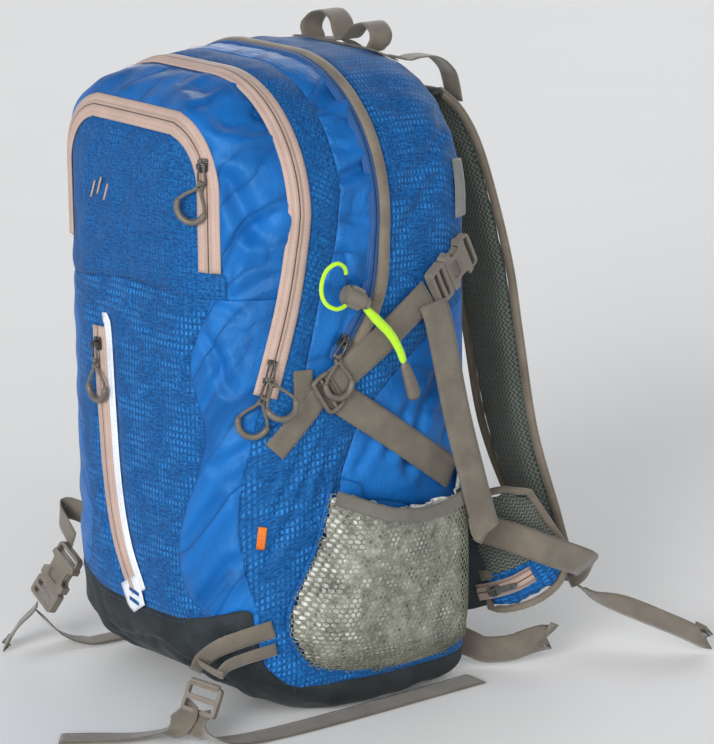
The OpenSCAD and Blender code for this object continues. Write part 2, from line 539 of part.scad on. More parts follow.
main_compartment();
expansion_gusset();
front_compartment();
upper_front_pocket();
lower_front_pocket();
base_boot();
frame_sheet();
frame_stays();
back_pads();
mesh_pockets();
pocket_liners();
main_zip();
main_zip_binding();
front_zip();
upper_pocket_zip();
lower_pocket_zip();
reflective_trim();
anchor_straps();
lower_straps();
tension_strap_right();
tension_strap_left();
female_buckles();
male_buckle_right();
male_buckle_left();
base_webbing();
base_ladder_lock();
base_buckle_female();
base_buckle_male();
pole_loop();
cord_lock_body();
cord_lock_button();
cord_lock_spring();
haul_loop();
shoulder_pad_right();
shoulder_pad_left();
shoulder_webbing_right();
shoulder_webbing_left();
ladder_lock_right();
ladder_lock_left();
sternum_right();
sternum_left();
hip_wing_right();
hip_wing_left();
hip_zip_right();
hip_zip_left();
hip_slider_right();
hip_slider_left();
base_tail_left();
harness_webbing();
side_tags();
upper_slider();
upper_pull();
front_slider_low();
front_pull_low();
front_slider_high();
front_pull_high();
main_slider();
main_pull();
lower_slider();
lower_pull();
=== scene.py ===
"""Looks of a hiking daypack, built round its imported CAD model. Lengths in the tables are millimetres."""
import bpy
import math
import numpy as np
from mathutils import Vector, Matrix, kdtree


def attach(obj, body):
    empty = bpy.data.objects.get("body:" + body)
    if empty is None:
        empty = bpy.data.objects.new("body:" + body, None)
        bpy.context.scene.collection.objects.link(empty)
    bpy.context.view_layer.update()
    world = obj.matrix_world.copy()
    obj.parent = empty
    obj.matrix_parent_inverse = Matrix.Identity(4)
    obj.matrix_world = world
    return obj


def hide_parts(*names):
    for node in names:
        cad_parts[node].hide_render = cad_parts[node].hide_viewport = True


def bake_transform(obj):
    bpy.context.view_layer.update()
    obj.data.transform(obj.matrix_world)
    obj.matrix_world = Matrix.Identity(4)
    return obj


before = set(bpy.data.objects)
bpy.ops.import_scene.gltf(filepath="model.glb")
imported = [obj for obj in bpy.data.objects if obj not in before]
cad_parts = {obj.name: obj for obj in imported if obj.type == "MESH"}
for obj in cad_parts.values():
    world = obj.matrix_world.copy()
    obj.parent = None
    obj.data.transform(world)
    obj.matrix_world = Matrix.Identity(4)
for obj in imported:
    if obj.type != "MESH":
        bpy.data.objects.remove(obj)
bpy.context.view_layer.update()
MM = 0.001
SIDES = (("right", 1), ("left", -1))


# ---------- small helpers ----------
def smooth_table(xs, ys):
    """Monotone cubic through the points (xs, ys), as a function."""
    xs, ys = np.array(xs, float), np.array(ys, float)
    h, d = np.diff(xs), np.diff(ys) / np.diff(xs)
    same_way = d[:-1] * d[1:] > 0
    inner = np.where(same_way, 2 * d[:-1] * d[1:] / np.where(same_way, d[:-1] + d[1:], 1), 0)
    m = np.concatenate([[d[0]], inner, [d[-1]]])

    def value(x):
        x = np.clip(x, xs[0], xs[-1])
        i = np.clip(np.searchsorted(xs, x, "right") - 1, 0, len(h) - 1)
        t = (x - xs[i]) / h[i]
        return ((2 * t**3 - 3 * t**2 + 1) * ys[i] + (t**3 - 2 * t**2 + t) * h[i] * m[i]
                + (3 * t**2 - 2 * t**3) * ys[i + 1] + (t**3 - t**2) * h[i] * m[i + 1])
    return value


def unit(v):
    v = np.asarray(v, float)
    return v / np.maximum(np.linalg.norm(v, axis=-1, keepdims=True), 1e-12)


def lengths(p):
    """How far along a polyline each of its points is."""
    return np.concatenate([[0], np.cumsum(np.linalg.norm(np.diff(p, axis=0), axis=1))])


def curve(points, step):
    """Catmull-Rom curve through points, resampled evenly about every step."""
    p = np.array(points, float)
    if len(p) > 2:
        q = np.vstack([2 * p[0] - p[1], p, 2 * p[-1] - p[-2]])
        fine = []
        for i in range(1, len(q) - 2):
            a, b, c, d = q[i - 1:i + 3]
            for t in np.arange(0, 1, 0.05):
                fine.append(b + (c - a) * t / 2 + (2 * a - 5 * b + 4 * c - d) * t * t / 2
                            + (3 * b - a - 3 * c + d) * t**3 / 2)
        p = np.array(fine + [q[-2]])
    along = lengths(p)
    n = max(2, int(round(along[-1] / step)) + 1)
    s = np.linspace(0, along[-1], n)
    return np.stack([np.interp(s, along, p[:, k]) for k in range(p.shape[1])], 1)


def quads(m, n, ring=False):
    """Faces of m sections of n points each: a capped tube, or a ring if the last section joins the first."""
    f = [[i * n + j, i * n + (j + 1) % n, (i + 1) % m * n + (j + 1) % n, (i + 1) % m * n + j]
         for i in range(m if ring else m - 1) for j in range(n)]
    return f if ring else f + [list(range(n))[::-1], [(m - 1) * n + j for j in range(n)]]


def set_uvs(mesh, uvs):
    """One (u, v) per vertex, in millimetres."""
    layer = mesh.uv_layers[0] if mesh.uv_layers else mesh.uv_layers.new(name="UV")
    index = np.zeros(len(mesh.loops), int)
    mesh.loops.foreach_get("vertex_index", index)
    layer.data.foreach_set("uv", (np.asarray(uvs, float)[index] * MM).ravel())


def mesh_object(name, verts, faces, material, uvs=None):
    """A smooth-shaded mesh object from vertices in millimetres."""
    mesh = bpy.data.meshes.new(name)
    mesh.from_pydata((np.asarray(verts, float) * MM).tolist(), [], [list(map(int, f)) for f in faces])
    if uvs is not None:
        set_uvs(mesh, uvs)
    for m in material if isinstance(material, (list, tuple)) else [material]:
        mesh.materials.append(m)
    mesh.polygons.foreach_set("use_smooth", [True] * len(mesh.polygons))
    mesh.update()
    o = bpy.data.objects.new(name, mesh)
    bpy.context.scene.collection.objects.link(o)
    return o


def apply_modifiers(o):
    """The object's mesh becomes what its modifiers made of it."""
    dg = bpy.context.evaluated_depsgraph_get()
    mesh = bpy.data.meshes.new_from_object(o.evaluated_get(dg))
    o.modifiers.clear()
    o.data = mesh


def modifier(o, kind, **settings):
    """A new modifier named after its kind."""
    m = o.modifiers.new(kind.lower(), kind)
    for key, value in settings.items():
        setattr(m, key, value)
    return m


def settle_cloth(o, m, pressure, last):
    """Runs a cloth modifier with air inside and no weight up to a last frame, and keeps its shape."""
    scene = bpy.context.scene
    m.settings.use_pressure, m.settings.uniform_pressure_force = True, pressure
    m.settings.effector_weights.gravity = 0
    m.collision_settings.use_collision = False
    m.point_cache.frame_start, m.point_cache.frame_end = 1, last
    for frame_number in range(1, last + 1):
        scene.frame_set(frame_number)
    apply_modifiers(o)
    scene.frame_set(1)


def vertices(o):
    """An object's vertices in millimetres."""
    return np.array([p.co for p in o.data.vertices], float) / MM


def to_segment(q, a, b):
    """Distance of each point of q from the segment ab."""
    a, b = np.array(a, float), np.array(b, float)
    t = np.clip((q - a) @ (b - a) / ((b - a) @ (b - a)), 0, 1)
    return np.linalg.norm(q - a - t[:, None] * (b - a), axis=1)


def to_line(q, line):
    """Distance of each point of q from a polyline."""
    best = np.full(len(q), 1e3)
    for a, b in zip(line, line[1:]):
        best = np.minimum(best, to_segment(q, a, b))
    return best


def dress(o, body, slot, *nodes):
    """Makes a piece ride on a body and hides the CAD nodes it stands for; slot is not used."""
    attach(o, body)
    if nodes:
        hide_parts(*nodes)


def join_lists(parts):
    """One (verts, faces, uvs) from several."""
    verts, faces, uvs, base = [], [], [], 0
    for v, f, t in parts:
        verts.append(v)
        uvs.append(t)
        faces += [[i + base for i in g] for g in f]
        base += len(v)
    return np.vstack(verts), faces, np.vstack(uvs)


# ---------- the stuffed body's outer surface ----------
FRONT, BACK, HALF_W, PACK_H = -142.0, 103.0, 145.0, 520.0
TABLE_Y = [-142, -120, -72, -34, 8, 60, 103]
half_w = smooth_table(TABLE_Y, HALF_W * np.array([0.5, 0.745, 0.925, 0.966, 1, 0.985, 0.885]))
top_z = smooth_table(TABLE_Y, PACK_H * np.array([0.885, 0.952, 0.988, 0.998, 1, 0.995, 0.965]))
top_r = smooth_table([-142, -120, -72, 8, 103], [45, 52, 100, 112, 100])
low_z = smooth_table([-142, -120, -72, -34, 103], [70, 34, 8, 0, 0])
low_r = smooth_table([-142, -120, -72, 103], [60, 46, 34, 30])
EDGE_R_FRONT, EDGE_R_BACK = 16.0, 14.0


def corner(u, v):
    """The larger of u and v where either is below 0; the distance from the corner where both are above."""
    return np.hypot(np.maximum(u, 0), np.maximum(v, 0)) + np.minimum(np.maximum(u, v), 0)


def rounded_max(a, b, r):
    """The larger of a and b, with the edge between them rounded to radius r."""
    return corner(a + r, b + r) - r


def body_f(p):
    """Negative inside the stuffed body; near its surface about the distance to it."""
    x, y, z = np.abs(p[..., 0]), p[..., 1], p[..., 2]
    w, t, b = half_w(y), top_z(y), low_z(y)
    upper = z > (t + b) / 2
    r = np.where(upper, top_r(y), low_r(y))
    qx, qz = x - (w - r), np.where(upper, z - (t - r), b + r - z)
    ring = corner(qx, qz) - r
    return rounded_max(rounded_max(ring, FRONT - y, EDGE_R_FRONT), y - BACK, EDGE_R_BACK)


def gradient(p):
    """body_f's slope, which points outward."""
    return np.stack([body_f(p + e) - body_f(p - e) for e in np.eye(3)], -1) / 2


def project(p, off=0.0):
    """Points moved onto the surface that lies off mm outside the body."""
    p = np.array(p, float)
    for _ in range(10):
        g = gradient(p)
        p = p - g * ((body_f(p) - off) / np.maximum((g**2).sum(-1), 0.2))[..., None]
    return p


def normal(p):
    """The direction straight out of the body."""
    return unit(gradient(np.asarray(p, float)))


def girth(p):
    """Signed arc length of a point from the top's middle, down the side, at its own y."""
    x, y, z = np.abs(p[:, 0]), p[:, 1], p[:, 2]
    w, t, r = half_w(y), top_z(y), top_r(y)
    a = np.arctan2(np.maximum(x - (w - r), 0), np.maximum(z - (t - r), 1e-6))
    on_top = np.minimum(x, w - r)
    arc = on_top + np.where(x > w - r, r * a, 0) + np.maximum(t - r - z, 0)
    return arc * np.where(p[:, 0] < 0, -1, 1)


# ---------- seam lines ----------
def line_side(points):
    """A function of (a, b) that is above 0 to the left of a polyline, and else below."""
    pts = np.array(points, float)

    def value(a, b):
        best, out = np.full(a.shape, 1e18), np.zeros(a.shape)
        q = np.stack([a, b], -1)
        for i in range(len(pts) - 1):
            u, v = pts[i], pts[i + 1]
            d = v - u
            t = (q - u) @ d / (d @ d)
            lo = -1e9 if i == 0 else 0.0
            hi = 1e9 if i == len(pts) - 2 else 1.0
            t = np.clip(t, lo, hi)
            near = u + t[..., None] * d
            dist = np.linalg.norm(q - near, axis=-1)
            cross = d[0] * (q[..., 1] - u[1]) - d[1] * (q[..., 0] - u[0])
            closer = dist < best - 1e-9
            out = np.where(closer, np.sign(cross) * dist, out)
            best = np.where(closer, dist, best)
        return out
    return value


ABOVE = 700  # a height past the top, where a line that goes over the top starts
ZIP_LINE = [[-71, ABOVE], [-71, 441], [-73.5, 392], [-82, 342], [-98.5, 273]]
GUSSET_REAR = [[-103, 257], [-114.7, 200], [-117.6, 166], [-112, 125], [-105, 95], [-100, 40], [-98, -100]]
BINDING = [[2.4, ABOVE], [2.4, 400], [-1, 350], [-17, 315], [-37, 286]]
BINDING_ON = [[-71, 262], [-104, 240], [-400, 60]]
BAND_REAR = [[-34, ABOVE], [-34, 430], [-41, 380], [-52, 356], [-71, 275], [-90, 200]]
SIDE_SATIN = [[-40, -60], [-39, 170], [-38, 200], [-23, 239], [-5, 262], [26, 287], [60, 310], [160, 362]]
WAVE = smooth_table([60, 91, 103, 142, 169, 209, 240, 293, 347, 420],
                    [100, 89, 70, 61.5, 67, 82, 89, 77, 95, 112])
BOOT_SIDE = smooth_table([-109, -105, -100, -75, 10, 103], [99, 67, 50, 31, 30, 28])
POCKET_X, POCKET_TOP, POCKET_R = 96.0, 482.0, 48.0


def split_z(x):
    """Height of the seam between the front's upper and lower pockets."""
    return 345 + 7 * np.sin((x + 60) / 50) * (x < 60) + 7 * np.sin(2.4) * (x >= 60)


def boot_front(x):
    """Height of the boot's edge across the front."""
    return 83 + 16 * np.clip((np.abs(x) - 50) / 60, 0, 1) ** 1.4


def boot_z(p):
    """Height of the boot's edge at each point's place."""
    return np.where(p[:, 1] < -109, boot_front(p[:, 0]), BOOT_SIDE(p[:, 1]))


def pocket_f(p):
    """Above 0 inside the upper pocket's zip."""
    x, z = np.abs(p[:, 0]), p[:, 2]
    edge = POCKET_X + 11 * np.clip((376 - z) / 6, 0, 1)
    qx, qz = x - (edge - POCKET_R), z - (POCKET_TOP - POCKET_R)
    return POCKET_R - corner(qx, qz)


class Skin:
    """A polygon mesh whose faces carry a panel's name, and which is cut along seam functions."""

    NEAR = 0.38  # a vertex moves onto the seam if the seam cuts its edge this near to it
    ON_SEAM = 0.02  # values smaller than this count as 0

    def __init__(self, verts, faces):
        self.v = np.array(verts, float)
        self.f = [list(g) for g in faces]
        self.panel = ["body"] * len(self.f)

    def edges(self, i):
        g = self.f[i]
        return [(min(a, b), max(a, b)) for a, b in zip(g, g[1:] + g[:1])]

    def cut(self, where, new, f):
        """Splits faces of the panels in where at f = 0; the part with f > 0 is renamed new[panel]."""
        inside = [i for i, n in enumerate(self.panel) if n in where]
        used = sorted({k for i in inside for k in self.f[i]})
        faces_at = {}
        for i in range(len(self.f)):
            for e in self.edges(i):
                faces_at.setdefault(e, []).append(i)
        edges = sorted({e for i in inside for e in self.edges(i)})
        value = np.ones(len(self.v))
        value[used] = f(self.v[used])
        self.move_near(edges, value, faces_at)
        value = self.split_edges(edges, value, faces_at)
        for i in inside:
            self.split_face(i, new[self.panel[i]], value, f)

    def move_near(self, edges, value, faces_at):
        """Vertices near the seam move onto it, except where two panels already meet."""
        outer = {k for e, fs in faces_at.items() for k in e if len({self.panel[i] for i in fs}) > 1}
        moves = {}
        for a, b in edges:
            if value[a] * value[b] < 0:
                t = value[a] / (value[a] - value[b])
                for k, other, share in ((a, b, t), (b, a, 1 - t)):
                    if share < self.NEAR and k not in outer and share < moves.get(k, (1,))[0]:
                        moves[k] = (share, self.v[k] + (self.v[other] - self.v[k]) * share)
        for k, (share, place) in moves.items():
            self.v[k] = place
            value[k] = 0
        value[np.abs(value) < self.ON_SEAM] = 0

    def split_edges(self, edges, value, faces_at):
        """Puts a vertex on every edge that the seam crosses; returns the values with theirs added."""
        crossed = [(a, b) for a, b in edges if value[a] * value[b] < 0]
        if not crossed:
            return value
        made = {e: len(self.v) + i for i, e in enumerate(crossed)}
        places = [self.v[a] + (self.v[b] - self.v[a]) * value[a] / (value[a] - value[b]) for a, b in crossed]
        self.v = np.vstack([self.v, places])
        for i in sorted({i for e in crossed for i in faces_at[e]}):
            grown = []
            for k, e in zip(self.f[i], self.edges(i)):
                grown += [k, made[e]] if e in made else [k]
            self.f[i] = grown
        return np.concatenate([value, np.zeros(len(made))])

    def split_face(self, i, name, value, f):
        """A face on the side with f > 0 takes the name; a face that lies across the seam is split."""
        g = self.f[i]
        signs = [np.sign(value[k]) for k in g]
        if min(signs) < 0 < max(signs):
            zeros = [j for j, sign in enumerate(signs) if sign == 0]
            if len(zeros) == 2:
                a, b = zeros
                one, two = g[a:b + 1], g[b:] + g[:a + 1]
                if sum(value[k] for k in one) < 0:
                    one, two = two, one
                self.f.append(two)
                self.panel.append(self.panel[i])
                self.f[i], self.panel[i] = one, name
            elif sum(value[k] for k in g) > 0:
                self.panel[i] = name
        elif max(signs) > 0 or (max(signs) == 0 and f(self.v[g].mean(0)[None])[0] > 0):
            self.panel[i] = name


VOXEL = 5.0


def start_mesh():
    """The closed body surface as even quads."""
    rings, n = [], 120
    a = np.linspace(0, 2 * math.pi, n, endpoint=False)
    middle = [(v, 1.0) for v in np.linspace(90, -120, 22)]
    for y, shrink in [(BACK, 0.5), (BACK, 1.0)] + middle + [(-135, 1.0), (FRONT, 0.85), (FRONT, 0.4)]:
        w, mid = half_w(y) * shrink, (top_z(y) + low_z(y)) / 2
        h = (top_z(y) - low_z(y)) / 2 * shrink
        c, s = np.cos(a), np.sin(a)
        k = (np.abs(c)**5 + np.abs(s)**5) ** -0.2
        rings.append(np.stack([w * c * k, np.full(n, float(y)), mid + h * s * k], 1))
    o = mesh_object("start", np.vstack(rings), quads(len(rings), n), [])
    modifier(o, "REMESH", mode="VOXEL", voxel_size=VOXEL * MM, adaptivity=0)
    apply_modifiers(o)
    v = vertices(o)
    f = [list(p.vertices) for p in o.data.polygons]
    bpy.data.objects.remove(o)
    edges = np.array(sorted({tuple(sorted(e)) for g in f for e in zip(g, g[1:] + g[:1])}))
    count = np.bincount(edges.ravel(), minlength=len(v))[:, None]
    for _ in range(8):
        v = project(v)
        total = np.zeros_like(v)
        np.add.at(total, edges[:, 0], v[edges[:, 1]])
        np.add.at(total, edges[:, 1], v[edges[:, 0]])
        v = v * 0.5 + total / count * 0.5
    return project(v), f


def cut_panels():
    """The body's surface, cut along its seams."""
    skin = Skin(*start_mesh())

    def side(f):
        """A function of (y, z) as a function of points."""
        return lambda p: f(p[:, 1], p[:, 2])

    skin.cut(["body"], {"body": "back"}, lambda p: p[:, 1] - 95)
    skin.cut(["body"], {"body": "shell"}, side(line_side(ZIP_LINE + GUSSET_REAR)))
    skin.cut(["shell"], {"shell": "rear"}, side(line_side(BINDING + BINDING_ON)))
    skin.cut(["shell"], {"shell": "gusset"}, side(line_side(BAND_REAR)))
    satin_side = side(line_side(SIDE_SATIN[::-1]))
    skin.cut(["rear"], {"rear": "flank"}, lambda p: np.where(
        np.abs(p[:, 0]) > 60, np.minimum(satin_side(p), p[:, 2] - 70), -50))
    skin.cut(["body"], {"body": "upper"}, lambda p: p[:, 2] - split_z(p[:, 0]))
    skin.cut(["upper"], {"upper": "pocket"}, pocket_f)
    skin.cut(["body"], {"body": "fold"}, lambda p: np.abs(p[:, 0]) - WAVE(p[:, 2]))
    low = ["back", "rear", "flank", "shell", "body", "fold"]
    skin.cut(low, {n: "boot" for n in low}, lambda p: boot_z(p) - p[:, 2])
    return skin


# ---------- materials ----------
def shade(colour, k):
    """A darker or lighter colour."""
    return tuple(min(1, c * k) for c in colour)


class Look:
    """A node material built in a few lines. Values are numbers, colours or sockets."""

    def __init__(self, name, rough=0.8, metal=0.0, sheen=0.0):
        self.m = bpy.data.materials.new(name)
        self.m.use_nodes = True
        self.nodes, self.links = self.m.node_tree.nodes, self.m.node_tree.links
        self.out = self.nodes["Principled BSDF"]
        self.set(self.out, "Roughness", rough)
        self.set(self.out, "Metallic", metal)
        if sheen:
            self.set(self.out, "Specular IOR Level", 0.3)
            self.set(self.out, "Sheen Weight", sheen)
            self.set(self.out, "Sheen Roughness", 0.4)

    def set(self, node, key, value):
        socket = node.inputs[key]
        if isinstance(value, bpy.types.NodeSocket):
            self.links.new(value, socket)
        elif isinstance(value, (tuple, list)) and len(value) == 3 and socket.type == "RGBA":
            socket.default_value = (*value, 1.0)
        else:
            socket.default_value = value

    def node(self, kind, inputs=None, **attributes):
        n = self.nodes.new("ShaderNode" + kind)
        for k, v in attributes.items():
            setattr(n, k, v)
        for k, v in (inputs or {}).items():
            self.set(n, k, v)
        return n

    def math(self, op, a, b=0.0, c=0.0):
        return self.node("Math", {0: a, 1: b, 2: c}, operation=op).outputs[0]

    def mul(self, a, b):
        return self.math("MULTIPLY", a, b)

    def add(self, a, b):
        return self.math("ADD", a, b)

    def off(self, a, b):
        """How far a is from b."""
        return self.math("ABSOLUTE", self.math("SUBTRACT", a, b))

    def uv(self, turn=0.0):
        """u and v in millimetres, turned by some degrees."""
        place = self.node("TexCoord").outputs["UV"]
        m = self.node("Mapping", {"Vector": place, "Rotation": (0, 0, math.radians(turn)),
                                  "Scale": (1000, 1000, 1000)})
        return self.node("SeparateXYZ", {0: m.outputs[0]}).outputs[:2]

    def place(self):
        """The point in the frame, in millimetres."""
        point = self.node("TexCoord").outputs["Object"]
        return self.node("Mapping", {"Vector": point, "Scale": (1000, 1000, 1000)}).outputs[0]

    def vector(self, x, y, z=0.0):
        return self.node("CombineXYZ", {0: x, 1: y, 2: z}).outputs[0]

    def noise(self, vector, size, detail=3.0, rough=0.55):
        """Soft noise about 0 to 1 whose patches are about size millimetres across."""
        inputs = {"Vector": vector, "Scale": 1.0 / size, "Detail": detail, "Roughness": rough}
        return self.node("TexNoise", inputs).outputs["Fac"]

    def span(self, value, lo, hi, to_lo=0.0, to_hi=1.0):
        limits = {"From Min": lo, "From Max": hi, "To Min": to_lo, "To Max": to_hi}
        return self.node("MapRange", {"Value": value, **limits}, clamp=True).outputs[0]

    def wave(self, value, pitch, sharp=1.0):
        """0 to 1 and back once every pitch millimetres."""
        s = self.math("SINE", self.mul(value, 2 * math.pi / pitch))
        s = self.math("MULTIPLY_ADD", s, 0.5, 0.5)
        return s if sharp == 1 else self.math("POWER", s, sharp)

    def mix(self, factor, a, b):
        return self.node("Mix", {0: factor, 6: a, 7: b}, data_type="RGBA").outputs[2]

    def finish(self, colour, height=None, bump=0.3, depth=0.3):
        """Colour, and a bump height that is depth mm tall at value 1."""
        self.set(self.out, "Base Color", colour)
        if height is not None:
            b = self.node("Bump", {"Strength": bump, "Distance": depth * MM, "Height": height})
            self.set(self.out, "Normal", b.outputs[0])
        return self.m


BLUE_DARK, BLUE, BLUE_LIGHT = (0.004, 0.042, 0.155), (0.010, 0.125, 0.375), (0.045, 0.29, 0.76)
BLUE_GLINT = (0.35, 0.7, 1.0)


def ripstop(name, turn=0.0, dashes=1.0):
    """Melange ripstop: a darker grid, and light dashes in rows that come and go in patches."""
    k = Look(name, rough=0.62, sheen=0.04)
    u, v = k.uv(turn)
    p = k.vector(u, v)
    melange = k.noise(k.vector(k.mul(u, 0.35), v), 1.6, 4)
    cloud = k.noise(p, 60, 2)
    rows = k.mul(k.wave(v, 5.6, 1.6), k.span(k.wave(u, 3.7), 0.35, 0.75))
    patch = k.span(k.noise(k.vector(k.mul(u, 0.6), v), 16, 2), 0.42, 0.6)
    dash = k.mul(k.mul(rows, patch), dashes)
    grid = k.math("MAXIMUM", k.span(k.wave(u, 4.2), 0.93, 1.0), k.span(k.wave(v, 5.6), 0.93, 1.0))
    base = k.mix(k.span(melange, 0.38, 0.66), BLUE_DARK, BLUE)
    base = k.mix(k.mul(dash, 0.9), base, BLUE_LIGHT)
    base = k.mix(k.mul(grid, 0.5), base, BLUE_DARK)
    base = k.mix(k.span(cloud, 0.35, 0.75, 0.0, 0.22), base, BLUE_DARK)
    weave = k.mul(k.wave(u, 0.8), k.wave(v, 0.8))
    height = k.add(k.mul(weave, 0.3), k.mul(grid, 0.7))
    k.set(k.out, "Roughness", k.span(melange, 0.3, 0.7, 0.52, 0.72))
    k.set(k.out, "Specular Tint", BLUE_GLINT)
    return k.finish(base, height, 0.6, 0.25)


def satin(name):
    """Shiny twill with soft creases and a few sharp folds, with painted shade in the creases and round the
    folds.
    """
    k = Look(name, rough=0.36, sheen=0.04)
    u, v = k.uv()
    p = k.vector(u, v)
    crease = k.noise(k.vector(k.mul(u, 1.6), v), 14, 5, 0.6)
    cloud = k.noise(p, 45, 2)
    base = k.mix(k.span(cloud, 0.3, 0.7), (0.004, 0.088, 0.31), (0.008, 0.132, 0.44))
    # Painted crease shade: darker blue where the crease noise is high.
    base = k.mix(k.span(crease, 0.52, 0.75, 0, 0.35), base, (0.003, 0.062, 0.24))
    warp = k.noise(p, 55, 1)
    across, along = k.math("MULTIPLY_ADD", warp, 60, k.mul(u, 0.6)), k.mul(v, 1.2)
    ridge = k.off(k.noise(k.vector(across, along), 62, 1.5, 0.45), 0.5)
    fold = k.math("POWER", k.span(ridge, 0.055, 0.0), 1.6)
    # Painted fold shade: darker blue along the fold lines that the bump dips in.
    base = k.mix(k.mul(fold, 0.5), base, (0.002, 0.045, 0.18))
    # Painted shade round the folds: the cloth is lighter away from them, so the blue darkens toward each
    # fold.
    base = k.mix(k.span(ridge, 0.06, 0.2, 0, 0.3), base, (0.010, 0.185, 0.60))
    twill = k.wave(k.add(u, k.mul(v, 2.0)), 0.9)
    grain = k.noise(k.vector(k.mul(u, 3.0), k.mul(v, 0.5)), 1.2, 2)
    height = k.add(k.mul(crease, 4.0), k.mul(twill, 0.12))
    height = k.add(height, k.mul(fold, -2.6))
    k.set(k.out, "Roughness", k.span(grain, 0.3, 0.7, 0.30, 0.46))
    k.set(k.out, "Specular IOR Level", 0.5)
    k.set(k.out, "Specular Tint", BLUE_GLINT)
    k.set(k.out, "Anisotropic", 0.4)
    return k.finish(base, height, 0.6, 0.5)


def coated(name, colour, dark, weave=0.9, rough=0.7, patch=38):
    """Plain woven fabric with a dusty face and patches of wear; on the liner film the strong dark patches are
    painted crumple shade.
    """
    k = Look(name, rough=rough, sheen=0.05)
    p = k.place()
    x, y, z = k.node("SeparateXYZ", {0: p}).outputs
    mottle = k.noise(p, patch, 4)
    fine = k.noise(p, 1.4, 3)
    # Darker patches: wear on most fabrics, painted crumple shade on the liner film.
    base = k.mix(k.span(mottle, 0.35, 0.7), dark, colour)
    base = k.mix(k.span(fine, 0.45, 0.7, 0, 0.4), base, shade(colour, 1.7))
    threads = k.mul(k.wave(k.add(x, y), weave), k.wave(z, weave))
    height = k.add(k.mul(threads, 0.5), k.mul(mottle, 2.0))
    k.set(k.out, "Roughness", k.span(fine, 0.3, 0.7, rough - 0.1, rough + 0.1))
    return k.finish(base, height, 0.5, 0.3)


def webbing(name, colour=(0.165, 0.142, 0.112), light=(0.26, 0.225, 0.18), half=12.5):
    """Woven tape: fine ribs, two faint bands along, a tight selvedge. u runs across from the middle."""
    k = Look(name, rough=0.78, sheen=0.4)
    u, v = k.uv()
    rib = k.wave(k.add(v, k.mul(k.wave(u, 2.2), 0.35)), 1.25)
    ply = k.wave(u, 1.1)
    cloud = k.noise(k.vector(u, v), 30, 3)
    edge = k.span(k.math("ABSOLUTE", u), half - 2.2, half - 0.6)
    lift = k.math("MULTIPLY_ADD", rib, 0.5, k.mul(ply, 0.35))
    dark = shade(colour, 0.45)
    base = k.mix(k.span(lift, 0.1, 0.7), dark, colour)
    base = k.mix(k.span(cloud, 0.35, 0.7, 0, 0.5), base, light)
    base = k.mix(k.mul(edge, 0.35), base, dark)
    k.set(k.out, "Roughness", k.span(cloud, 0.3, 0.7, 0.7, 0.88))
    return k.finish(base, lift, 0.8, 0.35)


def zip_tape(name, colour, dark, half=11.0):
    """Closed reverse-coil zip: ribbed tapes and a dark parting line. u runs across from the middle."""
    k = Look(name, rough=0.66, sheen=0.25)
    u, v = k.uv()
    a = k.math("ABSOLUTE", u)
    coil = k.span(a, 2.6, 3.2, 1.0, 0.0)
    rib = k.wave(v, 1.3)
    fine = k.wave(k.add(v, k.mul(a, 0.6)), 0.9)
    cloud = k.noise(k.vector(u, v), 24, 3)
    base = k.mix(k.span(cloud, 0.3, 0.7), shade(colour, 0.86), colour)
    base = k.mix(k.mul(k.mul(rib, coil), 0.35), base, dark)
    base = k.mix(k.mul(fine, 0.14), base, dark)
    parting = k.span(a, 0.25, 0.7, 0.9, 0.0)
    stitch = k.mul(k.span(k.off(a, half - 3.4), 0.2, 0.5, 1.0, 0.0), k.span(k.wave(v, 3.4), 0.3, 0.5))
    base = k.mix(parting, base, shade(dark, 0.16))
    base = k.mix(k.mul(stitch, 0.45), base, dark)
    height = k.add(k.mul(rib, k.math("MULTIPLY_ADD", coil, 0.8, 0.15)), k.mul(parting, -1.5))
    return k.finish(base, height, 0.7, 0.35)


def moulded(name, colour, rough=0.42):
    """Injection-moulded plastic: fine spark texture, soft mottling, dusty and rubbed patches."""
    k = Look(name, rough=rough)
    p = k.place()
    fine, mottle = k.noise(p, 0.5, 3), k.noise(p, 9, 4)
    base = k.mix(k.span(mottle, 0.3, 0.75), shade(colour, 0.8), shade(colour, 1.25))
    edge = k.node("NewGeometry").outputs["Pointiness"]
    base = k.mix(k.span(edge, 0.52, 0.6, 0, 0.35), base, shade(colour, 2.0))
    k.set(k.out, "Roughness", k.span(mottle, 0.3, 0.7, rough - 0.08, rough + 0.14))
    return k.finish(base, k.add(fine, k.mul(mottle, 0.5)), 0.35, 0.12)


def metal(name, colour, rough=0.35):
    """Plated or drawn metal, rubbed in patches."""
    k = Look(name, rough=rough, metal=1.0)
    p = k.place()
    mottle, fine = k.noise(p, 4, 4), k.noise(p, 0.6, 3)
    base = k.mix(k.span(mottle, 0.35, 0.7), shade(colour, 0.6), colour)
    k.set(k.out, "Roughness", k.span(fine, 0.3, 0.7, rough - 0.1, rough + 0.15))
    return k.finish(base, fine, 0.3, 0.08)


def cord(name, colour, dark, pitch=1.6):
    """Braided cord: two sets of strands that cross. u runs round, v along."""
    k = Look(name, rough=0.7, sheen=0.3)
    u, v = k.uv()
    a = k.wave(k.add(v, k.mul(u, 0.8)), pitch)
    b = k.wave(k.math("SUBTRACT", v, k.mul(u, 0.8)), pitch)
    braid = k.math("MAXIMUM", a, b)
    cloud = k.noise(k.vector(u, v), 6, 2)
    base = k.mix(k.span(braid, 0.35, 0.9), dark, colour)
    base = k.mix(k.span(cloud, 0.4, 0.7, 0, 0.3), base, shade(colour, 1.2))
    return k.finish(base, braid, 0.8, 0.3)


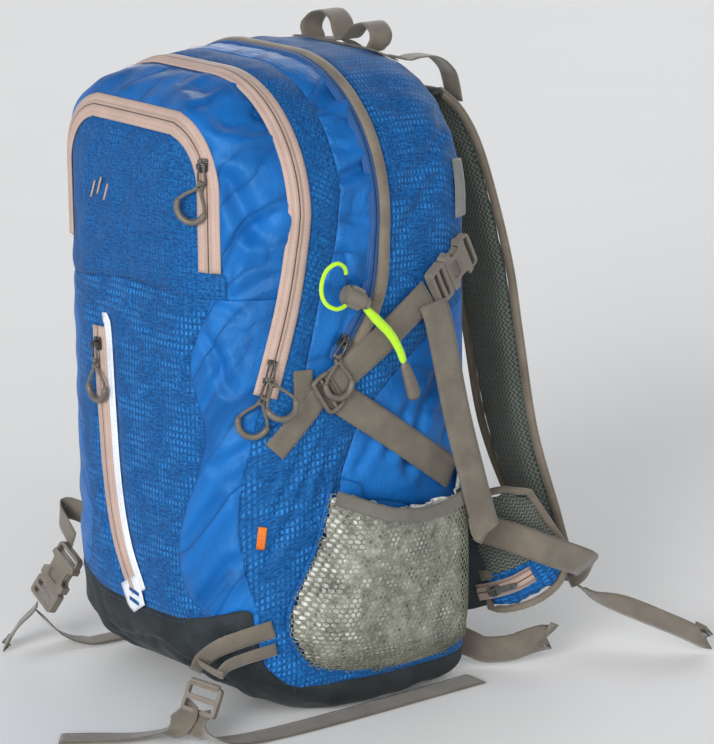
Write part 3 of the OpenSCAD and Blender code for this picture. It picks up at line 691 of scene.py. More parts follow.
def airmesh(name, colour=(0.145, 0.165, 0.142), dark=(0.052, 0.06, 0.053), turn=0.0):
    """Spacer mesh: diagonal zigzag ribs with open cells between them."""
    k = Look(name, rough=0.85, sheen=0.2)
    u, v = k.uv(turn)
    part = k.math("FRACT", k.math("DIVIDE", v, 5.0))
    zig = k.mul(k.off(part, 0.5), 5.0)
    rib = k.wave(k.add(u, zig), 3.4)
    cell = k.mul(k.wave(k.add(u, zig), 3.4), k.wave(v, 2.5))
    cloud = k.noise(k.vector(u, v), 30, 3)
    base = k.mix(k.span(rib, 0.25, 0.75), dark, colour)
    base = k.mix(k.mul(cell, 0.25), base, shade(colour, 1.5))
    base = k.mix(k.span(cloud, 0.35, 0.7, 0, 0.25), base, dark)
    return k.finish(base, k.add(rib, k.mul(cell, 0.5)), 0.8, 0.5)


TAN, TAN_DARK = (0.50, 0.365, 0.31), (0.24, 0.15, 0.115)
M = {
    "ripstop": ripstop("ripstop"),
    "ripstop_band": ripstop("ripstop_band", turn=52, dashes=0.5),
    "ripstop_dark": ripstop("ripstop_pocket", dashes=0.35),
    "satin": satin("satin"),
    "boot": coated("boot", (0.024, 0.032, 0.036), (0.007, 0.010, 0.012)),
    "back_fabric": coated("back_fabric", (0.05, 0.055, 0.055), (0.025, 0.028, 0.03)),
    "zip": zip_tape("zip_tape", TAN, TAN_DARK, half=9.8),
    "zip_narrow": zip_tape("zip_tape_narrow", TAN, TAN_DARK, half=9.0),
    "webbing": webbing("webbing"),
    "binding": webbing("binding", (0.20, 0.165, 0.125), (0.29, 0.245, 0.19), half=6.0),
    "plastic": moulded("moulded_taupe", (0.125, 0.108, 0.088)),
    "dark_plastic": moulded("moulded_dark", (0.03, 0.03, 0.032)),
    "nickel": metal("dark_nickel", (0.16, 0.155, 0.15)),
    "alloy": metal("stay_alloy", (0.55, 0.55, 0.56)),
    "cord": cord("cord_taupe", (0.17, 0.145, 0.11), (0.06, 0.05, 0.04)),
    "lime": cord("cord_lime", (0.52, 0.93, 0.03), (0.26, 0.52, 0.01)),
    "airmesh": airmesh("airmesh"),
    "zip_blue": zip_tape("zip_tape_blue", (0.016, 0.09, 0.28), (0.006, 0.03, 0.1), half=6.0),
    "reflective": coated("reflective", (0.74, 0.77, 0.82), (0.58, 0.61, 0.67), 0.7, 0.35),
    "net": coated("net_knit", (0.25, 0.25, 0.185), (0.07, 0.073, 0.05), 0.6, 0.75, patch=22),
    # The liner's dark colour paints the shade of its crumples.
    "liner": coated("liner_film", (0.95, 0.95, 0.90), (0.17, 0.17, 0.145), 1.2, 0.4, patch=9),
    "elastic": webbing("elastic", (0.15, 0.14, 0.12), (0.22, 0.205, 0.175), half=6.0),
    "tag": webbing("woven_tag", (0.20, 0.20, 0.19), (0.34, 0.36, 0.37), half=8.5),
    "orange": coated("orange_tab", (0.75, 0.20, 0.03), (0.5, 0.1, 0.01)),
    "thread_tan": cord("thread_tan", (0.50, 0.36, 0.28), (0.25, 0.16, 0.11), 0.8),
    "steel": metal("spring_steel", (0.5, 0.5, 0.52)),
    "thread_blue": cord("thread_blue", (0.02, 0.10, 0.33), (0.01, 0.04, 0.15), 0.8),
    "thread_taupe": cord("thread_taupe", (0.24, 0.20, 0.15), (0.1, 0.08, 0.06), 0.8),
}


# ---------- lines laid on the body ----------
def settle(points, off, free):
    """Points moved along the free axes only until they lie off mm outside the body."""
    p, free = np.array(points, float), np.array(free, float)
    for _ in range(12):
        g = gradient(p) * free
        p = p - g * ((body_f(p) - off) / np.maximum((g**2).sum(-1), 0.15))[..., None]
    return p


def side_path(line, off, step=4.0, side=1):
    """A (y, z) line laid on one side of the body."""
    c = curve(line, step)
    p = np.stack([half_w(c[:, 0]) * side, c[:, 0], c[:, 1]], 1)
    return settle(p, off, (1, 0, 0))


def loop_path(line, off, step=4.0):
    """A (y, z) line from its last point up one side, over the top and down the other side."""
    y = float(line[0][0])
    w, t, r = float(half_w(y)), float(top_z(y)), float(top_r(y))
    up = curve([q for q in line[::-1] if q[1] < t - r - 5] + [(y, t - r)], step)
    right = np.stack([half_w(up[:, 0]), up[:, 0], up[:, 1]], 1)
    a = np.linspace(0, math.pi / 2, 40)[1:]
    corner = np.stack([w - r + r * np.cos(a), np.full(39, y), t - r + r * np.sin(a)], 1)
    flat = np.stack([np.linspace(w - r, 0, 24)[1:], np.full(23, y), np.full(23, t)], 1)
    half = np.vstack([right, corner, flat])
    path = np.vstack([half, half[-2::-1] * [-1, 1, 1]])
    return settle(curve(settle(path, off, (1, 0, 1)), step), off, (1, 0, 1))


def front_path(line, off, step=4.0):
    """An (x, z) line laid on the front."""
    c = curve(line, step)
    p = np.stack([c[:, 0], np.full(len(c), -125.0), c[:, 1]], 1)
    return settle(p, off, (0, 1, 0))


LOWER = [(-40, 306), (-36, 240), (-31, 180), (-20, 132), (2, 92)]
UPPER_CORNER = [(POCKET_X - POCKET_R + POCKET_R * math.cos(a), POCKET_TOP - POCKET_R + POCKET_R * math.sin(a))
                for a in np.linspace(0, math.pi / 2, 8)]
UPPER = [(POCKET_X, 371), (POCKET_X, 400)] + UPPER_CORNER
UPPER += [(-x, z) for x, z in UPPER[::-1]]
TRIM = [(-33, 314)] + [(x + 13.5, z + 2) for x, z in LOWER[:-1]] + [(13, 97)]


# ---------- stuffed panels ----------
# How much more cloth than surface each panel has, and how far it may stand proud, in mm.
CLOTH = {"gusset": (0.085, 7), "upper": (0.07, 7), "fold": (0.08, 7), "flank": (0.05, 5), "rear": (0.022, 5),
         "shell": (0.022, 4.5), "pocket": (0.02, 4), "body": (0.03, 6), "boot": (0.05, 4.5),
         "back": (0.0, 1.5)}
# Where straps, pulls and buckles hold the cloth down: two ends and a radius, as (y, z) on the sides and
# (x, z) on the front.
PRESS_SIDE = [((-104, 218), (-54, 275), 13), ((-54, 275), (71, 184), 13), ((-20, 300), (95, 372), 16),
              ((-66, 366), (-20, 340), 12), ((-20, 340), (30, 250), 12), ((-98, 300), (-90, 262), 14),
              ((-40, 320), (-56, 262), 13), ((-30, 60), (84, 60), 60), ((-60, 110), (84, 130), 40)]
PRESS_FRONT = [((92, 460), (80, 405), 15), ((-39, 300), (-37, 240), 14), ((100, 80), (120, 60), 16),
               ((-100, 90), (-130, 110), 14)]


def press_distance(p):
    """Distance from the nearest pressed line's edge, in mm, at each point."""
    out = np.full(len(p), 1e3)
    for table, cols, on in ((PRESS_SIDE, (1, 2), p[:, 0] > 60), (PRESS_SIDE, (1, 2), p[:, 0] < -60),
                            (PRESS_FRONT, (0, 2), p[:, 1] < -95)):
        q = p[:, cols]
        for a, b, r in table:
            out = np.where(on, np.minimum(out, to_segment(q, a, b) - r), out)
    return np.maximum(out, 0)


def nearest(path, p):
    """Distance of each point of p from the nearest point of path."""
    tree = kdtree.KDTree(len(path))
    for i, q in enumerate(path):
        tree.insert(q, i)
    tree.balance()
    return np.array([tree.find(q)[2] for q in p])


def held_lines():
    """What the cloth stays under: (path, half width, the highest the cloth may be there)."""
    yield loop_path(ZIP_LINE, 0), 11.0, -0.8
    yield loop_path(BINDING, 0), 5.5, -0.3
    yield front_path(UPPER, 0), 11.0, -0.8
    yield front_path(LOWER, 0), 9.0, -0.5
    yield front_path(TRIM, 0), 5.5, -0.2
    for side in (1, -1):
        for line in ([(-100, 222), (-78, 248), (-50, 276)], [(-50, 276), (-40, 266), (71, 184)],
                     [(-50, 276), (-10, 303), (92, 368)]):
            yield side_path(line, 0, side=side), 13.0, 0.4
        yield side_path([(-36, 344), (-30, 318)], 0, side=side), 16.0, 1.5


def soft_noise(p, size, seed):
    """Smooth noise about -1 to 1, the same each run."""
    rng = np.random.RandomState(seed)
    out = np.zeros(len(p))
    for _ in range(10):
        k = rng.normal(size=3)
        k = k / np.linalg.norm(k) * 2 * math.pi / (size * rng.uniform(0.7, 1.5))
        out += np.sin(p @ k + rng.uniform(0, 7))
    return out / 3.2


# Pressed-in creases: panel, the crease's line, half width, depth. A line is (x, z) points on a front panel
# and (y, z) points on a side panel.
SIDE_PANELS = ("gusset", "rear", "flank", "boot_side")
CREASES = [
    ("gusset", [(-38, 487), (-16, 497), (2, 502)], 4.5, 6.5), ("gusset", [(-38, 436), (0, 449)], 3.4, 6.5),
    ("gusset", [(-34, 462), (-22, 460)], 2.2, 3), ("gusset", [(-44, 375), (-31, 382), (-28, 350)], 3, 4.5),
    ("gusset", [(-26, 352), (-8, 348)], 4, 5), ("gusset", [(-6, 423), (-10, 415)], 2.6, 3),
    ("upper", [(108, 446), (122, 400)], 5, 6), ("upper", [(104, 360), (112, 395), (128, 418)], 3, 3.5),
    ("upper", [(70, 497), (96, 486)], 5, 4), ("fold", [(84, 330), (98, 310), (106, 280)], 4, 5),
    ("fold", [(88, 262), (104, 300)], 3, 4), ("fold", [(95, 215), (116, 232)], 4, 4),
    ("fold", [(70, 150), (100, 190)], 4, 4), ("fold", [(80, 100), (108, 140)], 4, 4.5),
    ("body", [(-80, 330), (-30, 341), (0, 338)], 3, 4), ("body", [(-62, 316), (0, 336)], 2.4, 3),
    ("body", [(20, 318), (70, 312)], 3, 2.5), ("pocket", [(-10, 348), (-22, 372)], 2.5, 2.5),
    ("rear", [(20, 420), (88, 470)], 5, 2.5), ("rear", [(10, 380), (60, 430)], 5, 2.2),
    ("rear", [(-60, 250), (-92, 176)], 3, 3.5), ("rear", [(-50, 244), (-70, 200), (-98, 140)], 3, 3.5),
    ("rear", [(-44, 236), (-62, 170)], 2.5, 3), ("rear", [(-98, 200), (-80, 214)], 2.5, 2.5),
    ("flank", [(70, 282), (40, 244), (24, 196)], 5, 5), ("flank", [(84, 262), (66, 214)], 4, 4),
    ("flank", [(34, 262), (4, 214)], 4, 4), ("flank", [(-10, 226), (-24, 204)], 3.5, 3.5),
    ("gusset", [(-36, 410), (-20, 404), (-4, 408)], 3, 4), ("gusset", [(-30, 330), (-44, 300)], 3, 3),
    ("upper", [(40, 507), (78, 500), (108, 480)], 4, 4), ("upper", [(100, 340), (124, 366)], 3.5, 4),
    ("fold", [(100, 348), (84, 352), (112, 338)], 3, 3), ("boot", [(-40, 40), (20, 52), (90, 24)], 3.5, 3),
    ("boot", [(-96, 52), (-60, 30)], 3.5, 3), ("boot_side", [(-96, 50), (-60, 20)], 3.5, 3)]


def crease(v, on_side, line, width):
    """How much a crease dips at each vertex: about 1 at its middle, with a low ridge along either edge."""
    facing = np.abs(v[:, 0]) > 60 if on_side else v[:, 1] < -60
    far = to_line(v[:, (1, 2) if on_side else (0, 2)], line)
    return facing * (np.exp(-(far / width)**2) - 0.42 * np.exp(-((far - 2.1 * width) / (1.1 * width))**2))


CLOTH_FRAMES, PRESSURE = 22, 1.2
FURTHEST, LOWEST, SEAM_DIP = 9.0, 0.6, 1.3


def simulate(skin):
    """The cloth settles between its seams; returns the new vertices."""
    v, n = skin.v, normal(skin.v)
    seam = seam_vertices(skin)
    from_seam = nearest(v[sorted(seam)], v)
    growth, cap = np.zeros(len(v)), np.full(len(v), FURTHEST)
    in_panel = {name: np.zeros(len(v), bool) for name in CLOTH}
    for g, name in zip(skin.f, skin.panel):
        grow, high = CLOTH[name]
        growth[g] = np.maximum(growth[g], grow)
        cap[g] = np.minimum(cap[g], high)
        in_panel[name][g] = True
    cap = np.minimum(cap, 0.6 + 0.35 * press_distance(v))
    for path, half, level in held_lines():
        cap = np.minimum(cap, level + 0.5 * np.maximum(nearest(path, v) - half, 0))
    start = v + n * (soft_noise(v, 26, 3) * 0.8 * np.clip(from_seam / 12, 0, 1))[:, None]
    moved = cloth(start, skin.f, sorted(seam), growth)
    out = ((moved - v) * n).sum(1)
    moved = moved - n * out[:, None] + n * np.minimum(out, cap)[:, None]
    shift = moved - v
    size = np.linalg.norm(shift, axis=1)
    shift *= np.minimum(1, FURTHEST / np.maximum(size, 1e-6))[:, None]
    moved = v + shift
    for name, line, width, depth in CREASES:
        dip = crease(v, name in SIDE_PANELS, line, width) * depth * in_panel[name.replace("_side", "")]
        moved -= n * (dip * np.clip(from_seam / 5, 0, 1))[:, None]
    moved -= n * (SEAM_DIP * np.exp(-(from_seam / 5.0)**2))[:, None]
    moved[:, 2] = np.maximum(moved[:, 2], LOWEST)
    return moved


def seam_vertices(skin):
    """Vertices that two or more panels share."""
    sides = {}
    for g, name in zip(skin.f, skin.panel):
        for k in g:
            sides.setdefault(k, set()).add(name)
    return {k for k, names in sides.items() if len(names) > 1}


def cloth(verts, faces, pinned, growth):
    """The vertices after the cloth, pinned at its seams, has grown and been pressed out from inside."""
    o = mesh_object("cloth_work", verts, faces, [])
    group = o.vertex_groups.new(name="pin")
    grow = o.vertex_groups.new(name="grow")
    most = max(growth.max(), 1e-6)
    group.add(pinned, 1.0, "REPLACE")
    for k in range(len(verts)):
        grow.add([k], float(growth[k] / most), "REPLACE")
    m = modifier(o, "CLOTH")
    s = m.settings
    s.quality, s.mass = 5, 0.15
    s.tension_stiffness = s.compression_stiffness = 12
    s.shear_stiffness, s.bending_stiffness = 4, 0.25
    s.tension_damping = s.compression_damping = s.shear_damping = 8
    s.bending_damping = 0.6
    s.vertex_group_mass = "pin"
    s.vertex_group_shrink = "grow"
    s.shrink_min, s.shrink_max = 0.0, -float(most)
    settle_cloth(o, m, PRESSURE, CLOTH_FRAMES)
    out = vertices(o)
    bpy.data.objects.remove(o)
    return out


# Each panel's look, the CAD node it stands for and its material slot.
PANELS = {"back": ("back_fabric", "main_compartment", "ripstop"),
          "rear": ("ripstop", "main_compartment", "ripstop"),
          "flank": ("satin", "main_compartment", "satin"),
          "gusset": ("satin", "expansion_gusset", "satin"),
          "shell": ("ripstop_band", "front_compartment", "ripstop"),
          "upper": ("satin", "upper_front_pocket", "satin"),
          "pocket": ("ripstop_dark", "upper_front_pocket", "ripstop"),
          "body": ("ripstop", "lower_front_pocket", "ripstop"),
          "fold": ("satin", "lower_front_pocket", "satin"),
          "boot": ("boot", "base_boot", "boot")}


def close_shell(o, thickness, levels=1):
    """Subdivides a fabric sheet and gives it thickness inward, so that it's a closed mesh."""
    if levels:
        modifier(o, "SUBSURF", levels=levels, render_levels=levels)
    modifier(o, "SOLIDIFY", thickness=thickness * MM, offset=-1)
    apply_modifiers(o)


def build_panels():
    """One thin closed object for each panel of the stuffed body."""
    skin = cut_panels()
    moved = simulate(skin)
    arc = girth(skin.v)
    for name, (look, node, slot) in PANELS.items():
        faces = [g for g, n in zip(skin.f, skin.panel) if n == name]
        used = sorted({k for g in faces for k in g})
        index = {k: i for i, k in enumerate(used)}
        if name in ("pocket", "body", "back"):
            uv = skin.v[used][:, (0, 2)]
        else:
            uv = np.stack([skin.v[used][:, 1], arc[used]], 1)
        o = mesh_object("panel_" + name, moved[used], [[index[k] for k in g] for g in faces], M[look], uv)
        close_shell(o, 2.0)
        dress(o, "pack", slot, node)


build_panels()


# ---------- swept pieces ----------
WEB_W, WEB_T, NARROW = 25.0, 1.4, 22


def sweep(path, normals, profile, scale=None, ring=False):
    """A closed profile of (across, out) points carried along a path; returns verts, faces, uvs in mm."""
    path, profile = np.asarray(path, float), np.asarray(profile, float)
    t = unit(np.roll(path, -1, 0) - np.roll(path, 1, 0)) if ring else unit(np.gradient(path, axis=0))
    nrm = np.broadcast_to(np.asarray(normals, float), path.shape)
    side = unit(np.cross(t, nrm))
    out = unit(np.cross(side, t))
    k = (np.ones(len(path)) if scale is None else np.asarray(scale, float))[:, None, None]
    across, up = profile[None, :, :1] * k, profile[None, :, 1:] * k
    v = (path[:, None] + side[:, None] * across + out[:, None] * up).reshape(-1, 3)
    uv = np.stack([np.tile(profile[:, 0], len(path)), np.repeat(lengths(path), len(profile))], 1)
    return v, quads(len(path), len(profile), ring), uv


def tape_profile(w, t, n=8):
    """A flat tape's section with rounded edges, going round from one edge's underside."""
    a = np.linspace(-1, 1, n)
    crown = t / 2 * (1 - 0.55 * np.abs(a)**10)
    low = np.stack([a * w / 2, -crown], 1)
    high = np.stack([a[::-1] * w / 2, crown[::-1]], 1)
    return np.vstack([low, high])


def strip(path, w=WEB_W, t=WEB_T):
    """A flat tape laid along a path on the body."""
    return sweep(path, normal(path), tape_profile(w, t))


def zip_strip(path, w):
    """A closed zip laid along a path on the body."""
    return sweep(path, normal(path), zip_profile(w))


def zip_profile(w):
    """Two tapes that meet in a low coil ridge with a parting line, above u = 0."""
    up = [(-w / 2, 0.5), (-w / 2 + 3, 0.9), (-4.6, 0.9), (-3.2, 1.0), (-2.6, 1.9), (-0.8, 2.1), (-0.25, 1.5),
          (0.25, 1.5), (0.8, 2.1), (2.6, 1.9), (3.2, 1.0), (4.6, 0.9), (w / 2 - 3, 0.9), (w / 2, 0.5)]
    down = [(w / 2, -0.6), (0, -0.8), (-w / 2, -0.6)]
    return np.array(down + up)


def solid(name, parts, look, body, slot, *nodes, blend=None):
    """A piece from sweep() results that rides on a body, or, given blend, stays fixed in place on no body."""
    v, f, uv = join_lists(parts if isinstance(parts, list) else [parts])
    o = mesh_object(name, v, f, M[look], uv)
    if blend:
        np.array(blend[1]) * MM
        np.array(blend[2]) * MM
        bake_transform(o)
        if nodes:
            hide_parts(*nodes)
    else:
        dress(o, body, slot, *nodes)


solid("front_zip_tape", zip_strip(loop_path(ZIP_LINE, 0.2), 19), "zip", "pack", "zip_tape", "front_zip")
path = loop_path(BINDING, 1.0)
half_pipe = [(1.8, 2.7), (3.8, 2.0), (5.2, 0.6), (5.6, -1.5)]
pipe = [(-a, b) for a, b in half_pipe[::-1]] + [(0, 2.9)] + half_pipe
solid("binding", sweep(path, normal(path), pipe), "binding", "pack", "webbing", "main_zip_binding")
solid("upper_zip_tape", zip_strip(front_path(UPPER, 0.2), 19), "zip", "pack", "zip_tape", "upper_pocket_zip")
solid("lower_zip_tape", zip_strip(front_path(LOWER, 0.6), 17), "zip_narrow", "pack", "zip_tape",
      "lower_pocket_zip")


# ---------- more shapes ----------
def circle(r, n=12, squash=1.0):
    """A round or flattened section of n points."""
    a = np.linspace(0, 2 * math.pi, n, endpoint=False)
    return np.stack([r * np.cos(a), r * squash * np.sin(a)], 1)


def tube(points, ref, r, step=1.5, n=12, squash=1.0, loop=False, scale=None, straight=False):
    """A cord through points; ref is any direction that is never along it. Its ends are rounded."""
    path = np.asarray(points, float) if straight else curve(points, step)
    if loop:
        return sweep(curve(np.vstack([points, points[:1]]), step)[:-1], ref, circle(r, n, squash), ring=True)
    s = lengths(path)
    k = np.sqrt(np.clip(1 - (1 - np.minimum(s, s[-1] - s) / r).clip(0, 1)**2, 0.06, 1))
    if scale is not None:
        k = k * np.interp(s / s[-1], np.linspace(0, 1, len(scale)), scale)
    return sweep(path, ref, circle(r, n, squash), scale=k)


def ribbon(points, across, w=WEB_W, t=WEB_T, step=3.0):
    """Webbing through points; across is one direction, or one for each point."""
    points, across = np.array(points, float), np.array(across, float)
    if across.ndim == 1:
        path = curve(points, step)
        wide = np.broadcast_to(across, path.shape)
    else:
        both = curve(np.hstack([points, unit(across) * 0.01]), step)
        path, wide = both[:, :3], unit(both[:, 3:])
    normals = np.cross(wide, np.gradient(path, axis=0))
    return sweep(path, unit(normals), tape_profile(w, t))


def both_sides(name, part, look="webbing", body="pack", slot="webbing", nodes=(), blend=None):
    """A right piece and its mirror image. Names and bodies that end in _right have a _left."""
    for tag, sign in SIDES:
        flip = np.array([sign, 1, 1])
        parts = part if isinstance(part, list) else [part]
        parts = [(v * flip, [g[::sign] for g in f], uv) for v, f, uv in parts]
        own = [text.replace("right", tag) for text in (name, body, *nodes)]
        at = blend and (blend[0].replace("right", tag), blend[1] * flip, blend[2] * flip)
        solid(own[0], parts, look, own[1], slot, *own[2:], blend=at)


def stitches(lines, gap=3.4, length=2.3, r=0.32):
    """Rows of single stitches. Each line is (path, normals) with the path on the fabric's face."""
    verts, faces, uvs = [], [], []
    for path, normals in lines:
        s = lengths(path)
        for at in np.arange(gap / 2, s[-1] - length, gap):
            a, b = (np.array([np.interp(q, s, path[:, k]) for k in range(3)]) for q in (at, at + length))
            i = min(int(np.searchsorted(s, at)), len(path) - 1)
            t, n = unit(b - a), unit(normals[i])
            side = np.cross(t, n)
            mid, base = (a + b) / 2, len(verts)
            verts += [a, mid + side * r, mid + n * r * 1.3, mid - side * r, mid - n * r, b]
            uvs += [(0, at)] * 6
            for j in range(4):
                here, after = base + 1 + j, base + 1 + (j + 1) % 4
                faces += [[base, here, after], [base + 5, after, here]]
    return np.array(verts), faces, np.array(uvs, float)


def basis(at, direction, out):
    """A 4x4 whose x runs along direction and whose z is near out."""
    x = unit(direction)
    y = unit(np.cross(out, x))
    m = np.eye(4)
    m[:3, 0], m[:3, 1], m[:3, 2], m[:3, 3] = x, y, np.cross(x, y), at
    return m


def placed(m, part):
    """A part made in a flat frame of its own, moved to where the 4x4 m puts it."""
    v, f, uv = part
    return v @ m[:3, :3].T + m[:3, 3], f, uv


# ---------- zip and trim that stay on the pack ----------
path = loop_path([[-5, ABOVE], [-5, 400], [-11, 350], [-27, 318], [-44, 296]], 0.0)
solid("main_zip_tape", zip_strip(path, 12), "zip_blue", "pack", "zip_tape", "main_zip")
trim = [strip(front_path(TRIM, 1.2), 9, 1.0),
        strip(front_path([(-6, 102), (2, 88), (7, 80)], 1.7), 25, 1.2)]
solid("reflective_tape", trim, "reflective", "pack", "reflective", "reflective_trim")
bars = [strip(front_path([(-4, z + 1.0), (9, z - 1.5)], 2.4), 3.2, 0.7) for z in (94, 86)]
solid("reflective_bars", bars, "ripstop_dark", "pack", "reflective")

# ---------- side straps ----------
anchor = [strip(side_path([(-94, 229), (-77, 249), (-56, 272)], 2.3), 18),
          strip(side_path([(-71, 292), (-71, 262)], 1.7), 16)]
both_sides("anchor_strap_right", anchor, nodes=["anchor_straps"])
path = side_path([(-50, 276), (-40, 266), (71, 184)], 2.6)
both_sides("lower_strap_right", strip(path), nodes=["lower_straps"])
path = side_path([(44, 338.5), (-10, 303), (-50, 276)], 4.6)
both_sides("tension_band_right", strip(path),
           blend=("male_buckle_right", (140, -30, 290), (140, 38, 334)))
hang = [(152.5, 45, 331), (157, 47, 318), (163, 50, 286), (171, 57, 232), (180, 75, 150), (182, 77, 144),
        (180.8, 76, 142.5), (178.8, 75, 146), (177.4, 73, 158)]
both_sides("tension_tail_right", ribbon(hang, (0.05, 0.93, 0.35)), body="male_buckle_right",
           nodes=["tension_strap_right"])


def triglide(w, l, r):
    """A moulded slide: a rounded frame and its middle bar, in its own flat frame."""
    right = [(l / 2 - 3, w / 2), (l / 2, w / 2 - 3), (l / 2, -w / 2 + 3), (l / 2 - 3, -w / 2)]
    left = [(-x, y) for x, y in right]
    c = left[2::-1] + right + left[3:]
    outline = tube([(x, y, 0) for x, y in c], (0, 0, 1), r, loop=True, step=1.2)
    bar = tube([(0, -w / 2 + 1, 0.3), (0, w / 2 - 1, 0.3)], (0, 0, 1), r * 0.8, step=1)
    return [outline, bar]


at = side_path([(-52, 272), (-51, 274)], 5.4)[0]
glide = basis(at, (0.05, 0.86, 0.5), normal(at))
both_sides("hook_right", [placed(glide, q) for q in triglide(30, 15, 1.9)], "plastic", "pack", "hardware")

# ---------- net side pockets ----------
POCKET_EDGE = curve([(-47, 200), (-60, 152), (-84, 98), (-78, 62), (-52, 44), (10, 36), (74, 40), (84, 66),
                     (85, 110), (85, 196)], 3)
POCKET_DEPTH, CRUMPLE = 33, 9.0
MOUTH = smooth_table([-60, -45, -10, 20, 50, 84, 90], [197, 191, 178, 174, 177, 187, 190])


def inside_pocket(q):
    """Which (y, z) points lie inside the pocket's edge and under its mouth."""
    loop = np.vstack([POCKET_EDGE, [(85, 260), (-47, 260)]])
    hit = np.zeros(len(q), bool)
    for a, b in zip(loop, np.roll(loop, -1, 0)):
        if a[1] != b[1]:
            crosses = (a[1] > q[:, 1]) != (b[1] > q[:, 1])
            hit ^= crosses & (q[:, 0] < (b[0] - a[0]) * (q[:, 1] - a[1]) / (b[1] - a[1]) + a[0])
    return hit & (q[:, 1] < MOUTH(q[:, 0]))


def pocket_point(q, share=1.0, drop=0.0):
    """Points of the net's dome over the (y, z) points q."""
    q = np.asarray(q, float)
    d = np.clip(to_line(q, POCKET_EDGE) / 40, 0, 1)
    belly = np.sin(np.clip((q[:, 1] - 40) / 150, 0, 1) * math.pi)
    high = POCKET_DEPTH * (1 - (1 - d)**2.3) * (0.86 + 0.14 * belly)
    p = settle(np.stack([np.full(len(q), HALF_W), q[:, 0], q[:, 1]], 1), 1.6, (1, 0, 0))
    p[:, 0] += np.maximum(high * share - drop, 0)
    return p


def net_mesh(size=2.5, thread=0.24):
    """Hexagonal cells, each a frame of six thin strips, sharing their outer corners."""
    flat, faces, corner_at = [], [], {}
    step_y, step_z = size * math.sqrt(3), size * 1.5
    turn = [(math.sin(k * math.pi / 3), math.cos(k * math.pi / 3)) for k in range(6)]
    centres = np.array([(y + (j % 2) * step_y / 2, 30 + j * step_z) for j in range(60)
                        for y in np.arange(-95, 95, step_y)])
    centres = centres[inside_pocket(centres)]
    for y, z in centres:
        outer = []
        for a, b in turn:
            key = (round((y + a * size) * 4), round((z + b * size) * 4))
            if key not in corner_at:
                corner_at[key] = len(flat)
                flat.append((y + a * size, z + b * size))
            outer.append(corner_at[key])
        base = len(flat)
        flat += [(y + a * size * (1 - thread), z + b * size * (1 - thread)) for a, b in turn]
        faces += [[outer[k], outer[(k + 1) % 6], base + (k + 1) % 6, base + k] for k in range(6)]
    return np.array(flat), faces


def build_net_pockets():
    """Each side's net, its crumpled lining, and the bands round them."""
    flat, faces = net_mesh()
    p = pocket_point(flat)
    step = 4.0
    ys, zs = np.arange(-90, 92, step), np.arange(34, 200, step)
    grid = np.array([(y, z) for z in zs for y in ys])
    keep = inside_pocket(grid)
    liner_faces = []
    for j in range(len(zs) - 1):
        for i in range(len(ys) - 1):
            g = [j * len(ys) + i, j * len(ys) + i + 1, (j + 1) * len(ys) + i + 1, (j + 1) * len(ys) + i]
            if all(keep[k] for k in g):
                liner_faces.append(g)
    used = sorted({k for g in liner_faces for k in g})
    index = {k: i for i, k in enumerate(used)}
    liner_faces = [[index[k] for k in g] for g in liner_faces]
    crumple = np.abs(soft_noise(np.hstack([grid[used], np.zeros((len(used), 1))]), 17, 11)) * CRUMPLE
    inner = pocket_point(grid[used], 0.92, 1.2)
    inner[:, 0] = np.maximum(inner[:, 0] - crumple, pocket_point(grid[used], 0, 0)[:, 0] + 0.6)
    ym = np.arange(-47, 85.1, 3.0)
    top = pocket_point(np.stack([ym, MOUTH(ym) - 5.5], 1))
    low = pocket_point(np.stack([ym, MOUTH(ym) - 9.5], 1))
    out = unit(np.cross(np.gradient(top, axis=0), low - top))
    out *= np.sign(out[:, :1])
    band = sweep(top + out * 0.3, out, tape_profile(12, 1.8))
    edge = settle(np.stack([np.full(len(POCKET_EDGE), HALF_W), *POCKET_EDGE.T], 1), 1.4, (1, 0, 0))
    rim = sweep(edge, normal(edge), circle(2.6, 12, 0.75))
    for tag, sign in SIDES:
        for name, v, f, look, uv, thick, levels, node in (
                ("net_", p, faces, "net", flat, 0.8, 0, "mesh_pockets"),
                ("pocket_lining_", inner, liner_faces, "liner", grid[used], 1.0, 1, "pocket_liners")):
            o = mesh_object(name + tag, v * [sign, 1, 1], [g[::sign] for g in f], M[look], uv)
            close_shell(o, thick, levels)
            dress(o, "pack", look, node)
    both_sides("net_band_right", band, "elastic")
    both_sides("net_rim_right", rim, "ripstop_dark", "pack", "ripstop")


build_net_pockets()


# ---------- padded harness ----------
def loft(path, across, widths, thick, n=28):
    """A pad along path: one soft-edged section per point, widths[i] by thick. UVs run across and along."""
    path, across = np.array(path, float), np.array(across, float)
    both = curve(np.hstack([path, np.array(widths, float)[:, None]]), 6)
    path, widths = both[:, :3], both[:, 3]
    t = unit(np.gradient(path, axis=0))
    side = unit(across - (t @ across)[:, None] * t)
    out = np.cross(t, side)
    a = np.linspace(0, 2 * math.pi, n, endpoint=False)
    c, s = np.cos(a), np.sin(a)
    c, s = np.sign(c) * np.abs(c)**0.75, np.sign(s) * np.abs(s)**0.6
    v = (path[:, None] + side[:, None] * (c[None, :, None] * widths[:, None, None] / 2)
         + out[:, None] * s[None, :, None] * thick / 2).reshape(-1, 3)
    return v, quads(len(path), n), (path, side, out, widths)


PAD_PRESSURE, PAD_FRAMES = 4.0, 16


